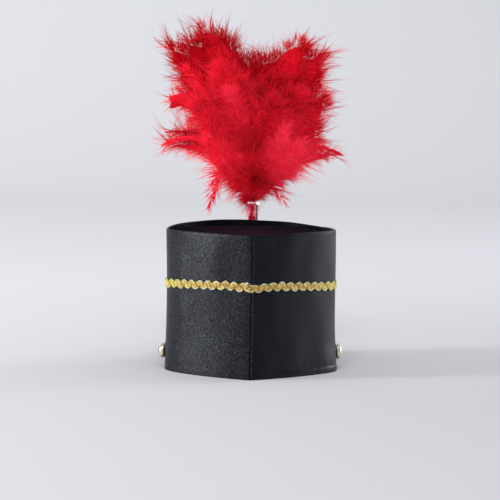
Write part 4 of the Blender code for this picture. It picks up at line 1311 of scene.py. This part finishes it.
def make_camera():
    """A long lens behind the hat, a little above its top."""
    data = bpy.data.cameras.new("camera")
    data.sensor_width = SENSOR
    data.lens = FOCAL_PIXELS / PHOTO_SIZE * SENSOR
    made = bpy.data.objects.new("camera", data)
    made.matrix_world = (
        Matrix.Translation(CAMERA_PLACE)
        @ Matrix.Rotation(math.radians(-CAMERA_YAW), 4, "Z")
        @ Matrix.Rotation(math.radians(90 - CAMERA_PITCH), 4, "X")
        @ Matrix.Rotation(math.radians(CAMERA_ROLL), 4, "Z")
    )
    bpy.context.scene.collection.objects.link(made)
    bpy.context.scene.camera = made


def make_stage():
    """A pale floor that sweeps up behind into a backdrop, with painted light falloff in its colour.
    """
    look = Look("studio_paper", (0.8, 0.81, 0.84), 0.9)
    spot = {"Vector": look.place((1, 1, 1))}
    x, y = (look.node("SeparateXYZ", axis, spot) for axis in "XY")
    # Painted light falloff: the paper is darker towards -Y and lighter up the backdrop, and darker
    # to the right, away from the key light.
    paper = look.ramp(
        look.range(y, -0.3, 3.4, 0, 1),
        (0, (0.64, 0.643, 0.667)), (0.3, (0.785, 0.788, 0.806)), (1, (0.86, 0.865, 0.885)),
    )
    far = look.range(x, -0.9, 0.9, 1, 0.85)
    near = look.range(x, -0.45, 0.45, 0.98, 0.78)
    away = look.range(y, 0.1, 1.2, 0, 1)
    painted_falloff = look.math("MULTIPLY_ADD", look.math("SUBTRACT", far, near), away, near)
    look.feed("Base Color", look.darken(paper, painted_falloff))
    look.feed("Specular IOR Level", 0.1)
    angle = np.radians(90 * np.arange(33) / 32)
    depth = np.concatenate([[-FLOOR_HALF], BACKDROP_START + BACKDROP_BEND * np.sin(angle),
                            [BACKDROP_START + BACKDROP_BEND]])
    height = np.concatenate([[0], BACKDROP_BEND * (1 - np.cos(angle)), [BACKDROP_TOP]])
    points = np.zeros((len(depth), 2, 3))
    points[..., 0] = (-FLOOR_HALF, FLOOR_HALF)
    points[..., 1] = depth[:, None]
    points[..., 2] = height[:, None]
    faces = grid_faces(len(depth), 2, closed_columns=False)[:, ::-1]
    mesh_object("floor", points, faces, look.material)


def make_light():
    """Soft studio light: a key on the left, a broad fill on the right, and a pale room."""
    scene = bpy.context.scene
    world = bpy.data.worlds.new("room")
    world.use_nodes = True
    back = world.node_tree.nodes["Background"]
    back.inputs["Color"].default_value = (0.94, 0.95, 0.985, 1.0)
    back.inputs["Strength"].default_value = 0.8
    scene.world = world
    world.cycles_visibility.glossy = False
    for name, place, aim, size, power, colour in LIGHTS:
        data = bpy.data.lights.new(name, "AREA")
        data.shape = "RECTANGLE"
        data.size, data.size_y = size
        data.energy = power
        data.color = colour
        made = bpy.data.objects.new(name, data)
        made.location = place
        made.rotation_euler = (Vector(aim) - made.location).to_track_quat("-Z", "Y").to_euler()
        scene.collection.objects.link(made)
    scene.view_settings.view_transform = "Standard"
    scene.view_settings.look = "None"


def dress_nodes():
    """Finishes for the solids that keep their own shape."""
    strap = black_sheet("strap_finish", 0.36, 0.25, 0.28, 0)
    looks = {
        "front_strap": strap,
        "peak": black_sheet("peak_finish", 0.14, 0.06, 0.5, 0.4),
        "stem_wire": fibre("dark_quill", (0.05, 0.015, 0.02), 0.35, (2400, 2400, 120),
                           (0.018, 0.006, 0.008), (0.16, 0.03, 0.045), 0.3),
        "plume_holder": strap,
    }
    for name, look in looks.items():
        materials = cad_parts[name].data.materials
        materials.clear()
        materials.append(look)


make_camera()
make_stage()
make_light()
make_crown()
make_top()
make_seam_stitches()
make_braid()
BRASS = pale_brass()
make_button("button_right_dome", "button_right", 1, BRASS)
make_button("button_left_dome", "button_left", -1, BRASS)
make_stem()
make_tie()
make_plume()
dress_nodes()
